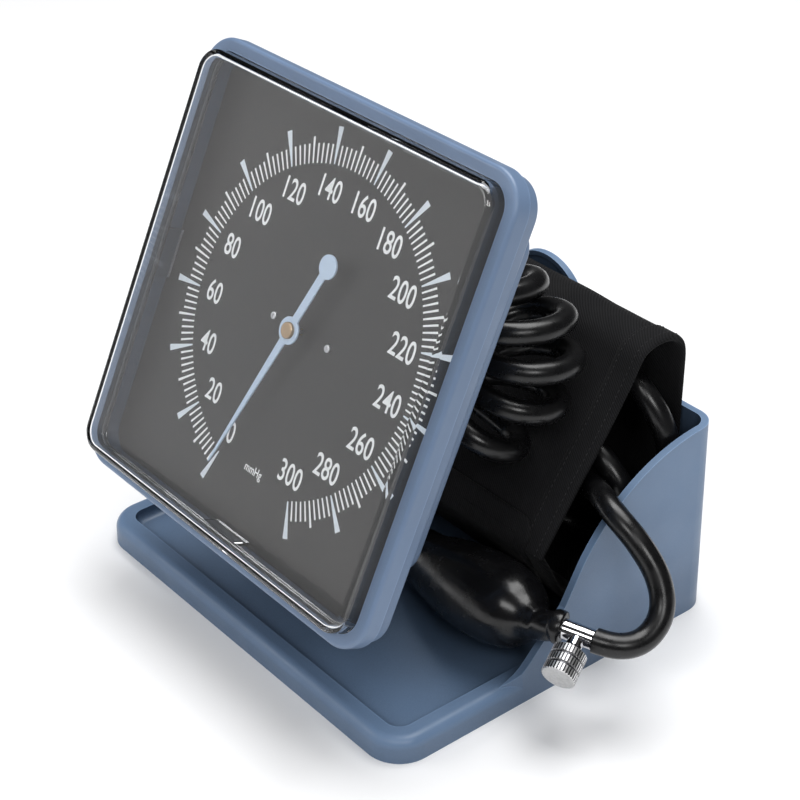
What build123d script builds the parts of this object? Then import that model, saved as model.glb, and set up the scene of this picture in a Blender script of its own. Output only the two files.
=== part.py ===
from build123d import *
from math import asin, atan2, cos, degrees, hypot, pi, radians, sin, sqrt, tan
import os

# Desk sphygmomanometer in mm. The origin is the centre of the stand's footprint on the table,
# +X is to the right seen from the front, +Y goes back and +Z goes up.

# Stand tray
stand_width = 186.0
stand_depth = 157.0
stand_back_y = 78.5
stand_front_corner = 14.0
stand_rear_corner = 11.0
stand_draft = 1.25
stand_wall = 2.8
stand_floor = 3.0
stand_cove = 6.0
lip_height = 10.0
lip_round = 4.0
deck_height = 5.2
deck_back_y = 4.9
deck_inset = 8.0
deck_cove = 3.0
underside_rim = 6.0
underside_margin = 3.0
rise_blend = 16.0
rise_start_y = -31.0
rise_curve_y = -15.4
rise_curve_z = 16.4
rise_mid_y = 1.0
rise_mid_z = 32.8
rise_top_y = 9.0
rise_top_z = 46.5
shoulder_y = 29.0
shoulder_z = 67.6
side_back_z = 80.5
back_wall_z = 81.5
tab_peak_z = 114.6
tab_radius = 21.0
tab_flare = 9.0
tab_rim = 1.8
tab_recess = 0.8
tab_region_depth = 12.0
foot_radius = 7.0
foot_thickness = 1.6
foot_inset_x = 20.0
foot_inset_y = 20.0

# Gauge head
head_side = 170.0
head_corner = 14.0
head_lean = 24.67
head_centre_y = -53.3
head_centre_z = 126.0
bezel_depth = 6.4
bezel_face = 2.0
bezel_round = 1.5
bezel_border = 5.0
window_side = head_side - 2 * bezel_border
window_corner = 9.0
parting_gap = 0.1
rim_inset = 0.9
rim_draft = 10.0
rim_back = 13.0
rim_round = 1.4
dial_depth = 10.8
dial_thickness = 0.6
dial_slot_length = 1.7
dial_slot_width = 0.35
dial_slot_depth = 0.4
fit_gap = 0.1
lens_rise = 6.8
lens_wall = 2.0
lens_draft = 1.5
lens_round = 2.2
lens_tab_width = 19.0
lens_tab_thickness = 1.3
lens_flange = 1.6
lens_flange_width = 2.0
gasket_thickness = 1.2
case_back = 37.0
case_inset = 19.0
case_box_side = head_side - 2 * case_inset
case_box_corner = 12.0
case_wall = 2.2
case_draft = 3.0

# Tilt pivot and its support
pivot_drop = 10.0
pivot_behind_case = 9.0
pivot_bolt_radius = 3.0
bolt_fit_gap = 0.02
bolt_socket_radius = 2.5
bolt_socket_depth = 2.0
pivot_eye_radius = 7.6
running_gap = 0.05
eye_half_width = 12.6
washer_thickness = 0.6
washer_gap = 0.15
lug_thickness = 6.0
lug_radius = 8.0
lug_root = 15.0
bolt_head_radius = 5.6
bolt_head_height = 3.4
nut_radius = 5.8
nut_height = 4.0
arm_half_width = 9.5
arm_foot_half_width = 12.5
arm_foot_front_y = -20.0
arm_foot_back_y = 4.5
arm_foot_height = 5.0
arm_foot_corner = 3.0
seat_gap = 0.3
screw_slot_length = 3.0
screw_slot_width = 0.7
screw_slot_depth = 0.6
arm_neck_front_y = -12.5
arm_neck_back_y = -1.0
arm_bend_z = 66.0
arm_screw_radius = 1.5
arm_screw_head_radius = 3.0
arm_screw_length = 11.0
arm_screw_sink = 0.2
arm_screw_x = 7.5
arm_screw_front_y = -16.0
arm_screw_back_y = 0.5

# Movement behind the dial, with depths below the bezel's front face
plate_thickness = 1.2
plate_half_width = 22.0
plate_top_y = 8.0
plate_bottom_y = -40.0
plate_corner = 6.0
dial_post_height = 1.6
dial_post_radius = 3.0
dial_screw_x = 15.6
dial_screw_head_radius = 1.45
dial_screw_head_height = 0.9
dial_screw_radius = 0.8
dial_screw_length = 2.4
gear_bay = 6.2
rocker_bay = 4.8
rocker_below_plate = 2.4
rocker_hub_radius = 1.2
rocker_arm_spare = 1.0
capsule_height = 5.6
capsule_boss_radius = 3.5
capsule_boss_height = 0.9
capsule_waves = 3
capsule_wave_height = 0.5
capsule_rim_width = 1.0
capsule_rim_thickness = 1.0
capsule_radius = 18.5
capsule_y = -22.0
base_half_width = 36.0
base_screw_inset = 9.0
base_screw_y = 6.0
base_screw_low_rise = 4.0
base_corner = 8.0
pillar_radius = 2.0
pillar_neck_radius = 1.2
pillar_inset = 3.6
gear_module = 0.5
pinion_teeth = 10
sector_full_teeth = 100
pressure_angle = 20.0
tooth_thinning = 0.07
sector_addendum = 0.8
pointer_sweep = 321.7
sector_spare = 4.0
sector_plate_above = 3.8
sector_thickness = 1.2
pinion_height = 2.4
arbor_radius = 0.8
sector_hub_radius = 5.2
sector_rim = 2.6
sector_web = 2.4
rocker_y = -25.0
rocker_lever_length = 3.0
rocker_shaft_radius = 0.8
rocker_shaft_half_length = 8.0
rocker_ear_x = 6.2
rocker_ear_thickness = 1.2
rocker_arm_width = 2.0
rocker_arm_thickness = 1.0
rocker_finger_width = 1.4
rocker_finger_thickness = 1.2
finger_x = -4.0
peg_radius = 0.6
peg_length = 1.5
peg_gap = 0.2
lift_gap = 0.3
push_pin_radius = 0.8
push_pin_foot_radius = 1.6
push_pin_foot_height = 0.5
push_pin_travel = 1.2
hairspring_turns = 4
hairspring_inner_radius = 2.0
hairspring_pitch = 1.2
hairspring_stud_radius = 0.9
hairspring_width = 0.25
hairspring_height = 0.6
hairspring_below_plate = 0.8
base_screw_radius = 1.5
base_screw_head_radius = 2.8
base_screw_head_height = 1.6
base_screw_length = 4.6

# Pointer
pointer_above_dial = 5.4
pointer_thickness = 0.6
pointer_tip_length = 62.0
pointer_root_width = 3.4
pointer_tip_width = 0.8
pointer_hub_radius = 5.0
pointer_tail_length = 28.4
pointer_tail_width = 3.3
pointer_disc_radius = 4.4
boss_radius = 3.0
dial_hole_gap = 0.5
boss_height = 3.0
pointer_rest_angle = 162.4

# Pressure connection on the tilt axis
nipple_x = -30.5
nipple_radius = 4.6
nipple_end_x = -42.0
nipple_barb_radius = 3.0
nipple_barb_step = 0.5
nipple_base_radius = 6.5
nipple_base_height = 2.0
ferrule_length = 9.0
ferrule_wall = 1.4
hose_seat_gap = 0.3

# Hoses
hose_radius = 4.6
first_run = 12.0
last_run = 8.0
coil_radius = 17.7
coil_start_angle = 219.0
coil_end_angle = 1845.0
coil_heading = 50.6
coil_axis_points = [(22.2, 15.2, 133.3), (52.6, 22.8, 124.4), (53.2, 23.6, 98.6), (37.0, 2.3, 82.5)]
coil_roll = [6.1, 16.1, -26.4]
coil_pitch = [-9.8, 7.1]
upper_lead_points = [
    (-66.8, -13.8, 101.6),
    (-76.7, -10.0, 109.9),
    (-81.9, -5.0, 121.4),
    (-81.3, 0.4, 134.1),
    (-74.8, 5.2, 145.3),
    (-63.7, 8.5, 152.9),
    (-50.1, 9.4, 155.3),
    (-36.5, 7.6, 152.3),
    (-19.1, 1.1, 139.5),
    (-6.8, -2.0, 133.3),
]
lower_lead_points = [
    (3.6, 15.4, 85.5),
    (-10.6, 14.1, 86.2),
    (-24.7, 11.9, 84.3),
    (-39.0, 8.1, 78.1),
    (-51.6, 2.8, 65.4),
    (-56.7, -2.0, 48.6),
    (-54.3, -2.8, 33.4),
    (-47.3, -1.4, 22.1),
    (-37.0, 1.5, 14.7),
    (-20.0, 7.0, 9.3),
    (-2.9, 11.7, 8.1),
    (16.0, 14.8, 8.3),
    (32.6, 14.5, 8.1),
    (49.4, 11.3, 8.1),
    (65.8, 10.5, 8.1),
    (79.7, 17.8, 12.5),
    (85.0, 30.1, 21.6),
    (83.4, 39.8, 34.7),
    (82.9, 41.6, 51.3),
    (77.7, 40.6, 62.7),
    (68.2, 39.1, 70.8),
]
bulb_hose_points = [
    (70.9, 56.1, 93.4),
    (79.2, 57.4, 85.1),
    (83.6, 59.0, 74.3),
    (83.7, 61.1, 58.9),
    (83.4, 61.9, 45.3),
    (78.7, 62.3, 29.0),
    (68.1, 62.8, 18.0),
    (53.6, 62.7, 13.2),
    (39.0, 58.1, 14.5),
    (28.3, 49.7, 21.6),
    (24.9, 40.3, 33.3),
    (29.8, 33.2, 46.0),
    (41.2, 30.6, 56.0),
    (55.7, 32.7, 60.7),
    (74.1, 31.9, 61.9),
    (86.6, 22.3, 68.6),
    (97.2, 18.1, 68.6),
    (108.8, 19.3, 62.0),
    (118.6, 20.4, 52.0),
    (124.9, 16.9, 42.0),
    (126.4, 7.0, 35.6),
]

# Cuff, folded into the bin
cuff_half_width = 75.4
cuff_layer = 5.5
cuff_floor_gap = 0.3
cuff_front_y = 3.0
cuff_front_z = 44.0
cuff_top_front_y = 49.0
cuff_top_front_z = 109.0
cuff_crown_y = 60.0
cuff_crown_z = 113.0
cuff_crown_back_y = 66.0
cuff_crown_back_z = 111.6
cuff_crown_front_y = 53.4
cuff_crown_front_z = 112.0
cuff_top_back_y = 71.0
cuff_top_back_z = 106.0
cuff_back_y = 73.5
cuff_foot_y = 26.0
cuff_belly_y = 13.5
cuff_belly_z = 24.0
cuff_foot_round = 8.0
flap_start = 6.0
flap_thickness = 11.0
flap_end_x = 44.0
flap_bottom_z = 62.0
flap_top_drop = 3.0
bladder_thickness = 2.6
bladder_half_width = 38.0
bladder_bottom_rise = 3.0
bladder_top_drop = 8.0
neck_root_x = 30.0
bladder_pocket_gap = 0.3
neck_wall_gap = 0.2
neck_end_x = 48.0
upper_neck_z = 98.0
lower_neck_z = 74.0

# Bulb and its valves
bulb_centre = (62.9, -9.3, 26.3)
bulb_direction = (0.968, -0.119, 0.226)
bulb_radius = 16.5
bulb_belly_radius = 14.4
bulb_belly_length = 21.0
bulb_shoulder_start_radius = 16.0
bulb_shoulder_start_place = 10.0
bulb_shoulder_middle_radius = 13.5
bulb_shoulder_middle_place = 19.5
bulb_shoulder_end_radius = 7.5
bulb_shoulder_end_place = 27.0
bulb_back_length = 47.3
bulb_front_length = 31.4
bulb_inlet_radius = 9.6
bulb_neck_radius = 5.4
bulb_neck_overlap = 1.2
bulb_shoulder_radius = 6.2
inlet_cap_radius = 9.2
inlet_cap_thickness = 1.6
inlet_stem_radius = 4.0
inlet_stem_length = 9.0
inlet_hole_radius = 1.2
inlet_chamber_radius = 2.2
inlet_chamber_length = 5.0
ball_radius = 1.9
ball_travel = 1.0
valve_centre = (109.8, -9.0, 36.7)
valve_direction = (0.905, 0.414, -0.10)
knob_direction = (0.356, -0.865, -0.354)
valve_radius = 3.7
valve_length = 11.6
valve_bore_radius = 1.3
valve_socket_length = 5.0
barb_radius = 3.0
collar_radius = 6.2
collar_length = 3.5
collar_round = 0.6
side_boss_radius = 2.9
side_boss_end = 5.6
needle_radius = 1.4
needle_start = 2.2
needle_cone_length = 1.2
knob_radius = 6.3
knob_start = 7.8
knob_length = 11.0
knob_teeth = 28
knob_tooth_depth = 0.35
knob_groove_width = 0.7
knob_groove_depth = 0.6
knob_bands = 3
needle_travel = 1.5


# Shared helpers
def unit(vector):
    return Vector(*vector).normalized()


def square_block(side, corner, back, front, taper=0.0):
    """Square with round corners between two depths of the head, growing inwards by taper."""
    return Pos(0, 0, back) * extrude(RectangleRounded(side, side, corner), front - back, taper=taper)


def rod(radius, start, end):
    """Round rod between two heights on the Z axis."""
    return Pos(0, 0, start) * Cylinder(radius, end - start, align=(Align.CENTER, Align.CENTER, Align.MIN))


def rod_x(radius, start, end):
    return Pos(start, 0, 0) * Rot(0, 90, 0) * rod(radius, 0, end - start)


def cross_slot(length, width, depth):
    """Driver slots of a screw, cut to a depth on both sides of the head's face."""
    return Box(length, width, 2 * depth) + Box(width, length, 2 * depth)


def axis_plane(origin, direction, x_direction=None):
    """Plane whose Z axis runs along a direction."""
    return Plane(origin=origin, x_dir=x_direction, z_dir=unit(direction))


def involute_gear(teeth, kept, addendum, middle_angle):
    """Outline points of a gear whose kept teeth are centred on an angle, with round gaps left out."""
    pitch = gear_module * teeth / 2
    base = pitch * cos(radians(pressure_angle))
    tip = pitch + addendum * gear_module
    root = pitch - 1.2 * gear_module
    half_tooth = (pi * gear_module / 2 - tooth_thinning) / (2 * pitch)
    roll = tan(radians(pressure_angle)) - radians(pressure_angle)
    points = []
    for index in range(kept):
        centre = radians(middle_angle) + (index - (kept - 1) / 2) * 2 * pi / teeth
        flank = []
        for share in (0.0, 0.5, 1.0):
            radius = max(base, root) + (tip - max(base, root)) * share
            angle = sqrt(max(0.0, (radius / base) ** 2 - 1))
            flank.append((radius, half_tooth + roll - (angle - atan2(angle, 1))))
        if base > root:
            flank.insert(0, (root, flank[0][1]))
        for radius, offset in flank:
            points.append((radius * cos(centre - offset), radius * sin(centre - offset)))
        for radius, offset in reversed(flank):
            points.append((radius * cos(centre + offset), radius * sin(centre + offset)))
    return points


def arc_edge(start, corner, end):
    """Arc from start to end that is tangent to the lines to their shared corner."""
    middle = (start + end) / 2
    half_chord = (end - start).length / 2
    tangent_length = (corner - start).length
    if (corner - middle).length < 1e-6:
        return Edge.make_line(start, end)
    sagitta = half_chord * tan(asin((corner - middle).length / tangent_length) / 2)
    return Edge.make_three_point_arc(start, middle + (corner - middle).normalized() * sagitta, end)


def biarc(start, start_direction, end, end_direction):
    """Two arcs that join two points with given directions."""
    chord = end - start
    both = start_direction + end_direction
    spread = 2 * (1 - start_direction.dot(end_direction))
    run = chord.dot(both)
    reach = (sqrt(run * run + spread * chord.dot(chord)) - run) / spread
    first_corner = start + start_direction * reach
    second_corner = end - end_direction * reach
    joint = (first_corner + second_corner) / 2
    return [arc_edge(start, first_corner, joint), arc_edge(joint, second_corner, end)]


def corner_radii(points):
    """Largest even radius for each corner: 0.45 of the shorter run over the half turn's tangent."""
    radii = []
    for before, corner, after in zip(points, points[1:], points[2:]):
        first = corner - before
        second = after - corner
        half_turn = radians(first.get_angle(second)) / 2
        radii.append(0.45 * min(first.length, second.length) / tan(half_turn))
    return radii


def tube_along(name, points):
    """Round tube along straight runs joined by tangent arcs."""
    points = [Vector(*point) for point in points]
    radii = corner_radii(points)
    path = FilletPolyline(*points, radius=radii)
    section = Plane(origin=path @ 0, z_dir=path % 0) * Circle(hose_radius)
    tube = sweep(section, path=path)
    share = tube.volume / (pi * hose_radius ** 2 * path.length)
    runs = [(b - a).length for a, b in zip(points, points[1:])]
    print(name, "length", round(path.length, 1), "volume share", round(share, 4))
    print("  radii in diameters", [round(radius / (2 * hose_radius), 1) for radius in radii])
    print("  runs", [round(run) for run in runs])
    return tube


# Places worked out from the driving dimensions
head_plane = Plane(
    origin=(0, head_centre_y, head_centre_z),
    x_dir=(1, 0, 0),
    z_dir=(0, -cos(radians(head_lean)), sin(radians(head_lean))),
)
pivot_depth = case_back + pivot_behind_case
pivot_point = head_plane.from_local_coords(Vector(0, -pivot_drop, -pivot_depth))
skirt_inner = head_side - 2 * (head_side - window_side) / 4 - 0.5
lens_side = window_side - 2 * fit_gap
lens_back = bezel_face + fit_gap + lens_flange
gasket_back = lens_back + gasket_thickness
dial_back = dial_depth + dial_thickness
front_plate_front = dial_back + dial_post_height
front_plate_back = front_plate_front + plate_thickness
rear_plate_front = front_plate_back + gear_bay
rear_plate_back = rear_plate_front + plate_thickness
capsule_front = rear_plate_back + rocker_bay
base_front = capsule_front + capsule_height
case_inner_back = case_back - case_wall
pinion_pitch_radius = gear_module * pinion_teeth / 2
sector_pitch_radius = gear_module * sector_full_teeth / 2
sector_y = -(pinion_pitch_radius + sector_pitch_radius)
sector_swing = pointer_sweep * pinion_teeth / sector_full_teeth
sector_back = rear_plate_front - sector_plate_above + sector_thickness
pointer_back = dial_depth - pointer_above_dial
rocker_depth = rear_plate_back + rocker_below_plate
peg_y = rocker_y - rocker_finger_thickness / 2 - peg_gap - peg_radius
lug_inner_x = eye_half_width + washer_thickness + 2 * washer_gap
lug_outer_x = lug_inner_x + lug_thickness


# Stand
def footprint(inset):
    """Plan of the tray, with larger corners in front, moved inwards by an inset."""
    half_x = stand_width / 2 - inset
    front_y = stand_back_y - stand_depth + inset
    back_y = stand_back_y - inset
    plan = Pos(0, (front_y + back_y) / 2) * Rectangle(2 * half_x, back_y - front_y)
    corners = plan.vertices().sort_by(Axis.Y)
    plan = fillet(corners[:2], stand_front_corner - inset)
    return fillet(plan.vertices().filter_by(lambda v: v.Y > back_y - 0.01), stand_rear_corner - inset)


def side_region():
    """Everything below the top edge of the side walls, seen from the side."""
    back_y = stand_back_y + 5
    outline = [
        Line((rise_start_y, -1), (rise_start_y, lip_height)),
        TangentArc((rise_start_y, lip_height), (rise_curve_y, rise_curve_z), tangent=(1, 0)),
        Line((rise_curve_y, rise_curve_z), (rise_mid_y, rise_mid_z)),
        Line((rise_mid_y, rise_mid_z), (rise_top_y, rise_top_z)),
        ThreePointArc((rise_top_y, rise_top_z), (shoulder_y, shoulder_z), (back_y, side_back_z)),
        Line((back_y, side_back_z), (back_y, -1)),
        Line((back_y, -1), (rise_start_y, -1)),
    ]
    face = Plane.YZ * make_face(outline)
    return extrude(face, stand_width, both=True)


def rise_plan():
    """Plan of the walls, cut off at the front corners so that they grow out of the rounded edge."""
    half_x = stand_width / 2 + 1
    near_x = stand_width / 2 - lip_round
    points = [
        (-near_x, rise_start_y), (near_x, rise_start_y), (half_x, rise_start_y + rise_blend),
        (half_x, stand_back_y + 1), (-half_x, stand_back_y + 1), (-half_x, rise_start_y + rise_blend),
    ]
    return extrude(make_face(Polyline(*points, points[0])), tab_peak_z + 4)


def tab_region(inset=0.0):
    """Outline of the back wall's dome tab, seen from the front, as a block over the back wall."""
    centre_z = tab_peak_z - tab_radius
    dome = Pos(0, centre_z) * Circle(tab_radius - inset)
    skirt = Pos(0, back_wall_z) * Rectangle(2 * (tab_radius - inset), 2 * (centre_z - back_wall_z))
    block = Plane.XZ * (dome + skirt)
    return Pos(0, stand_back_y - tab_region_depth, 0) * extrude(block, -2 * tab_region_depth)


def stand_base():
    """Shell with a rounded edge and a shallow dish in front, open to the walls' bin behind."""
    slab = extrude(footprint(0), lip_height, taper=stand_draft)
    slab = fillet(slab.faces().sort_by(Axis.Z)[-1].edges(), lip_round)
    dish = Pos(0, 0, deck_height) * extrude(footprint(deck_inset), lip_height)
    dish = fillet(dish.edges().group_by(Axis.Z)[0], deck_cove)
    slab -= dish
    front_y = stand_back_y - stand_depth
    relief = Pos(0, 0, -1) * extrude(footprint(underside_rim), 1 + deck_height - stand_floor)
    relief &= Pos(0, front_y, 0) * Box(
        stand_width, 2 * (deck_back_y - underside_margin - front_y), 2 * lip_height
    )
    boss_y = arm_foot_front_y - underside_margin
    relief -= Pos(0, boss_y, 0) * Box(
        2 * (arm_foot_half_width + underside_margin), -2 * boss_y, 2 * lip_height,
        align=(Align.CENTER, Align.MIN, Align.CENTER),
    )
    for x, y in foot_places():
        relief -= Pos(x, y, 0) * rod(foot_radius + underside_margin, -2, lip_height)
    return slab - relief


def arm_seat():
    """Recess of the deck that holds the support arm's foot."""
    seat = Pos(0, (arm_foot_front_y + deck_back_y) / 2, stand_floor) * Box(
        2 * (arm_foot_half_width + seat_gap), deck_back_y - arm_foot_front_y + 2 * seat_gap, lip_height,
        align=(Align.CENTER, Align.CENTER, Align.MIN),
    )
    return fillet(seat.edges().filter_by(Axis.Z), arm_foot_corner)


def bin_space():
    """Room of the bin, from its coved floor up."""
    inset = stand_wall + stand_floor * tan(radians(stand_draft))
    cavity = Pos(0, 0, stand_floor) * extrude(footprint(inset), tab_peak_z + 4, taper=stand_draft)
    cavity = fillet(cavity.edges().group_by(Axis.Z)[0], stand_cove)
    behind = Pos(0, deck_back_y, 0) * Box(
        2 * stand_width, stand_depth, 3 * tab_peak_z, align=(Align.CENTER, Align.MIN, Align.CENTER)
    )
    return cavity, cavity & behind


def stand_tray():
    outer = extrude(footprint(0), tab_peak_z + 4, taper=stand_draft)
    cavity, space = bin_space()
    walls = (outer - cavity) & (side_region() + tab_region()) & rise_plan()
    tray = stand_base() - space - arm_seat() + walls
    recess_y = stand_back_y - tab_peak_z * tan(radians(stand_draft)) - stand_wall
    recess = tab_region(tab_rim) & Pos(0, recess_y, (back_wall_z + tab_peak_z) / 2) * Box(
        4 * tab_radius, 2 * tab_recess, tab_peak_z - back_wall_z
    )
    tray -= recess
    for x, y in foot_places():
        tray -= Pos(x, y, 0) * rod(foot_radius + fit_gap, -1, foot_thickness + 0.05)
    for x, y in arm_screw_places():
        tray -= Pos(x, y, 0) * arm_screw_shape(fit_gap)
        tray -= Pos(x, y, 0) * rod(arm_screw_head_radius + fit_gap, -1, arm_screw_sink + 0.01)
    return tray


def foot_places():
    half_x = stand_width / 2 - foot_inset_x
    rows = (stand_back_y - stand_depth + foot_inset_y, stand_back_y - foot_inset_y)
    return [(x, y) for x in (-half_x, half_x) for y in rows]


def rubber_feet():
    foot = chamfer(rod(foot_radius, 0, foot_thickness).edges().sort_by(Axis.Z)[0], 0.3)
    return Compound([Pos(x, y, 0) * foot for x, y in foot_places()])


def arm_screw_places():
    rows = (arm_screw_front_y, arm_screw_back_y)
    return [(x, y) for x in (-arm_screw_x, arm_screw_x) for y in rows]


def arm_screw_shape(gap):
    """Countersunk screw, head down, grown by a gap for its hole."""
    head_height = arm_screw_head_radius - arm_screw_radius
    head = Cone(
        arm_screw_head_radius + gap, arm_screw_radius + gap, head_height,
        align=(Align.CENTER, Align.CENTER, Align.MIN),
    )
    return Pos(0, 0, arm_screw_sink) * (head + rod(arm_screw_radius + gap, 0, arm_screw_length + gap))


def arm_screws():
    cross = cross_slot(screw_slot_length, screw_slot_width, screw_slot_depth)
    screw = arm_screw_shape(0) - Pos(0, 0, arm_screw_sink) * cross
    return Compound([Pos(x, y, 0) * screw for x, y in arm_screw_places()])


def support_arm():
    foot_top = stand_floor + arm_foot_height
    foot = Pos(0, (arm_foot_front_y + arm_foot_back_y) / 2, stand_floor) * Box(
        2 * arm_foot_half_width, arm_foot_back_y - arm_foot_front_y, arm_foot_height,
        align=(Align.CENTER, Align.CENTER, Align.MIN),
    )
    foot = fillet(foot.edges().filter_by(Axis.Z), arm_foot_corner)
    neck = make_face(Polyline(
        (arm_neck_front_y, stand_floor + 1), (arm_neck_front_y, arm_bend_z),
        (pivot_point.Y - 5.5, pivot_point.Z - 4), (pivot_point.Y + 5.5, pivot_point.Z + 4),
        (arm_neck_back_y, arm_bend_z + 8), (arm_neck_back_y, stand_floor + 1),
        (arm_neck_front_y, stand_floor + 1),
    ))
    neck = extrude(Plane.YZ * neck, arm_half_width, both=True)
    eye = Pos(0, pivot_point.Y, pivot_point.Z) * rod_x(pivot_eye_radius, -eye_half_width, eye_half_width)
    ribs = make_face(Polyline(
        (arm_foot_front_y + 2, foot_top - 0.5), (arm_neck_front_y + 1, foot_top + 16),
        (arm_neck_back_y - 1, foot_top + 16), (arm_foot_back_y - 2, foot_top - 0.5),
        (arm_foot_front_y + 2, foot_top - 0.5),
    ))
    rib = extrude(Plane.YZ * ribs, 1.5, both=True)
    arm = foot + neck + eye + rib
    arm -= Pos(0, pivot_point.Y, pivot_point.Z) * rod_x(
        pivot_bolt_radius + running_gap, -eye_half_width - 1, eye_half_width + 1
    )
    for x, y in arm_screw_places():
        arm -= Pos(x, y, 0) * rod(arm_screw_radius + fit_gap, 0, arm_screw_length + 0.5)
    return arm


# Tilt pivot: made on the pivot axis, in the head's own frame
def on_pivot(shape):
    return head_plane.location * (Pos(0, -pivot_drop, -pivot_depth) * shape)


def pivot_bolt():
    head = Pos(lug_outer_x, 0, 0) * rod_x(bolt_head_radius, 0, bolt_head_height)
    socket = Rot(0, 90, 0) * extrude(RegularPolygon(bolt_socket_radius, 6), -bolt_socket_depth)
    socket = Pos(lug_outer_x + bolt_head_height, 0, 0) * socket
    shaft = rod_x(pivot_bolt_radius, -lug_outer_x - nut_height, lug_outer_x + 0.5)
    return on_pivot(head + shaft - socket)


def pivot_nut():
    nut = Rot(0, 90, 0) * extrude(RegularPolygon(nut_radius, 6), nut_height)
    nut = Pos(-lug_outer_x - nut_height, 0, 0) * nut
    return on_pivot(nut - rod_x(pivot_bolt_radius + fit_gap, -lug_outer_x - 10, 0))


def friction_washers():
    ring = rod_x(pivot_eye_radius - 0.6, 0, washer_thickness)
    ring -= rod_x(pivot_bolt_radius + running_gap, -1, washer_thickness + 1)
    start = eye_half_width + washer_gap
    return on_pivot(Compound([Pos(start, 0, 0) * ring, Pos(-start - washer_thickness, 0, 0) * ring]))


# Gauge head: made in the head's own frame, X right, Y up the dial and Z out of it
def front_bezel():
    frame = square_block(head_side, head_corner, -bezel_depth, 0)
    frame = fillet(frame.faces().sort_by(Axis.Z)[-1].edges(), bezel_round)
    frame -= square_block(skirt_inner, head_corner - 3, -bezel_depth - 1, -bezel_face)
    frame -= square_block(window_side, window_corner, -bezel_depth - 1, 1)
    return frame


def lens():
    shell = square_block(lens_side, window_corner - fit_gap, -lens_back, lens_rise, lens_draft)
    shell = fillet(shell.faces().sort_by(Axis.Z)[-1].edges(), lens_round)
    flange_side = lens_side + 2 * lens_flange_width
    shell += square_block(flange_side, window_corner + 1, -lens_back, -bezel_face - fit_gap)
    hollow = square_block(
        lens_side - 2 * lens_wall, window_corner - lens_wall, -lens_back, lens_rise - lens_wall, lens_draft
    )
    hollow = fillet(hollow.faces().sort_by(Axis.Z)[-1].edges(), 1.0)
    shell -= hollow
    tab_back = dial_depth - 3 * fit_gap
    tab = Pos(lens_side / 2 - lens_wall, 0, -tab_back) * Box(
        lens_tab_thickness, lens_tab_width, tab_back - lens_back + lens_flange,
        align=(Align.MIN, Align.CENTER, Align.MIN),
    )
    for angle in (0, 90, 180, 270):
        shell += Rot(0, 0, angle) * tab
    return shell


def lens_gasket():
    side = lens_side + 2 * lens_flange_width
    ring = square_block(side, window_corner + 1, -gasket_back + fit_gap / 2, -lens_back - fit_gap / 2)
    opening = window_side - 2 * fit_gap
    return ring - square_block(opening, window_corner, -gasket_back - 1, -lens_back + 1)


def rear_case():
    rim_depth = rim_back - bezel_depth - parting_gap
    rim_side = head_side - 2 * rim_inset - 2 * rim_depth * tan(radians(rim_draft))
    rim = square_block(rim_side, head_corner - 2, -rim_back, -bezel_depth - parting_gap, -rim_draft)
    rim = fillet(rim.faces().sort_by(Axis.Z)[0].edges(), rim_round)
    upstand = square_block(skirt_inner - 2 * fit_gap, head_corner - 3.1, -rim_back + 1, -gasket_back)
    box_depth = case_back - rim_back
    box = square_block(
        case_box_side - 2 * box_depth * tan(radians(case_draft)), case_box_corner - 2,
        -case_back, -rim_back + 0.5, -case_draft,
    )
    box = fillet(box.faces().sort_by(Axis.Z)[0].edges(), 2.0)
    case = rim + upstand + box
    case -= square_block(window_side, window_corner, -dial_back, 1)
    inner_depth = case_inner_back - dial_back
    inner_side = case_box_side - 2 * case_wall - 2 * inner_depth * tan(radians(case_draft))
    case -= square_block(inner_side, case_box_corner - 3, -case_inner_back, -dial_back + 0.5, -case_draft)
    for x in (lug_inner_x + lug_thickness / 2, -lug_inner_x - lug_thickness / 2):
        case += Pos(x, 0, 0) * pivot_lug()
    bolt_hole = rod_x(pivot_bolt_radius + bolt_fit_gap, -lug_outer_x - 1, lug_outer_x + 1)
    case -= Pos(0, -pivot_drop, -pivot_depth) * bolt_hole
    for x, y in base_screw_places():
        case -= Pos(x, y, 0) * rod(base_screw_radius + fit_gap, -case_back - 1, 0)
    case -= Pos(nipple_x, -pivot_drop, 0) * rod(nipple_radius + fit_gap, -case_back - 1, -base_front)
    return head_plane.location * case


def pivot_lug():
    """Cheek on the back of the case that holds the pivot bolt."""
    root_z = -case_back + 1
    cheek = make_face(Polyline(
        (-pivot_drop - lug_root, root_z), (-pivot_drop - lug_radius, -pivot_depth),
        (-pivot_drop + lug_radius, -pivot_depth), (-pivot_drop + lug_root, root_z),
        (-pivot_drop - lug_root, root_z),
    ))
    cheek += Pos(-pivot_drop, -pivot_depth) * Circle(lug_radius)
    return extrude(Plane.YZ * cheek, lug_thickness / 2, both=True)


def dial_plate():
    plate = square_block(window_side - 2 * fit_gap, window_corner - fit_gap, -dial_back, -dial_depth)
    plate -= rod(arbor_radius + dial_hole_gap, -dial_back - 1, 0)
    for x in (-dial_screw_x, dial_screw_x):
        plate -= Pos(x, 0, 0) * rod(dial_screw_radius + fit_gap, -dial_back - 1, 0)
    return plate


def dial_screws():
    head = rod(dial_screw_head_radius, -dial_depth, -dial_depth + dial_screw_head_height)
    head = fillet(head.edges().sort_by(Axis.Z)[-1], 0.4)
    screw = head + rod(dial_screw_radius, -dial_depth - dial_screw_length, -dial_depth)
    cross = cross_slot(dial_slot_length, dial_slot_width, dial_slot_depth)
    screw -= Pos(0, 0, -dial_depth + dial_screw_head_height) * cross
    return Compound([Pos(x, 0, 0) * screw for x in (-dial_screw_x, dial_screw_x)])


# Movement
def plate_outline():
    height = plate_top_y - plate_bottom_y
    return Pos(0, (plate_top_y + plate_bottom_y) / 2) * RectangleRounded(
        2 * plate_half_width, height, plate_corner
    )


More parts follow.
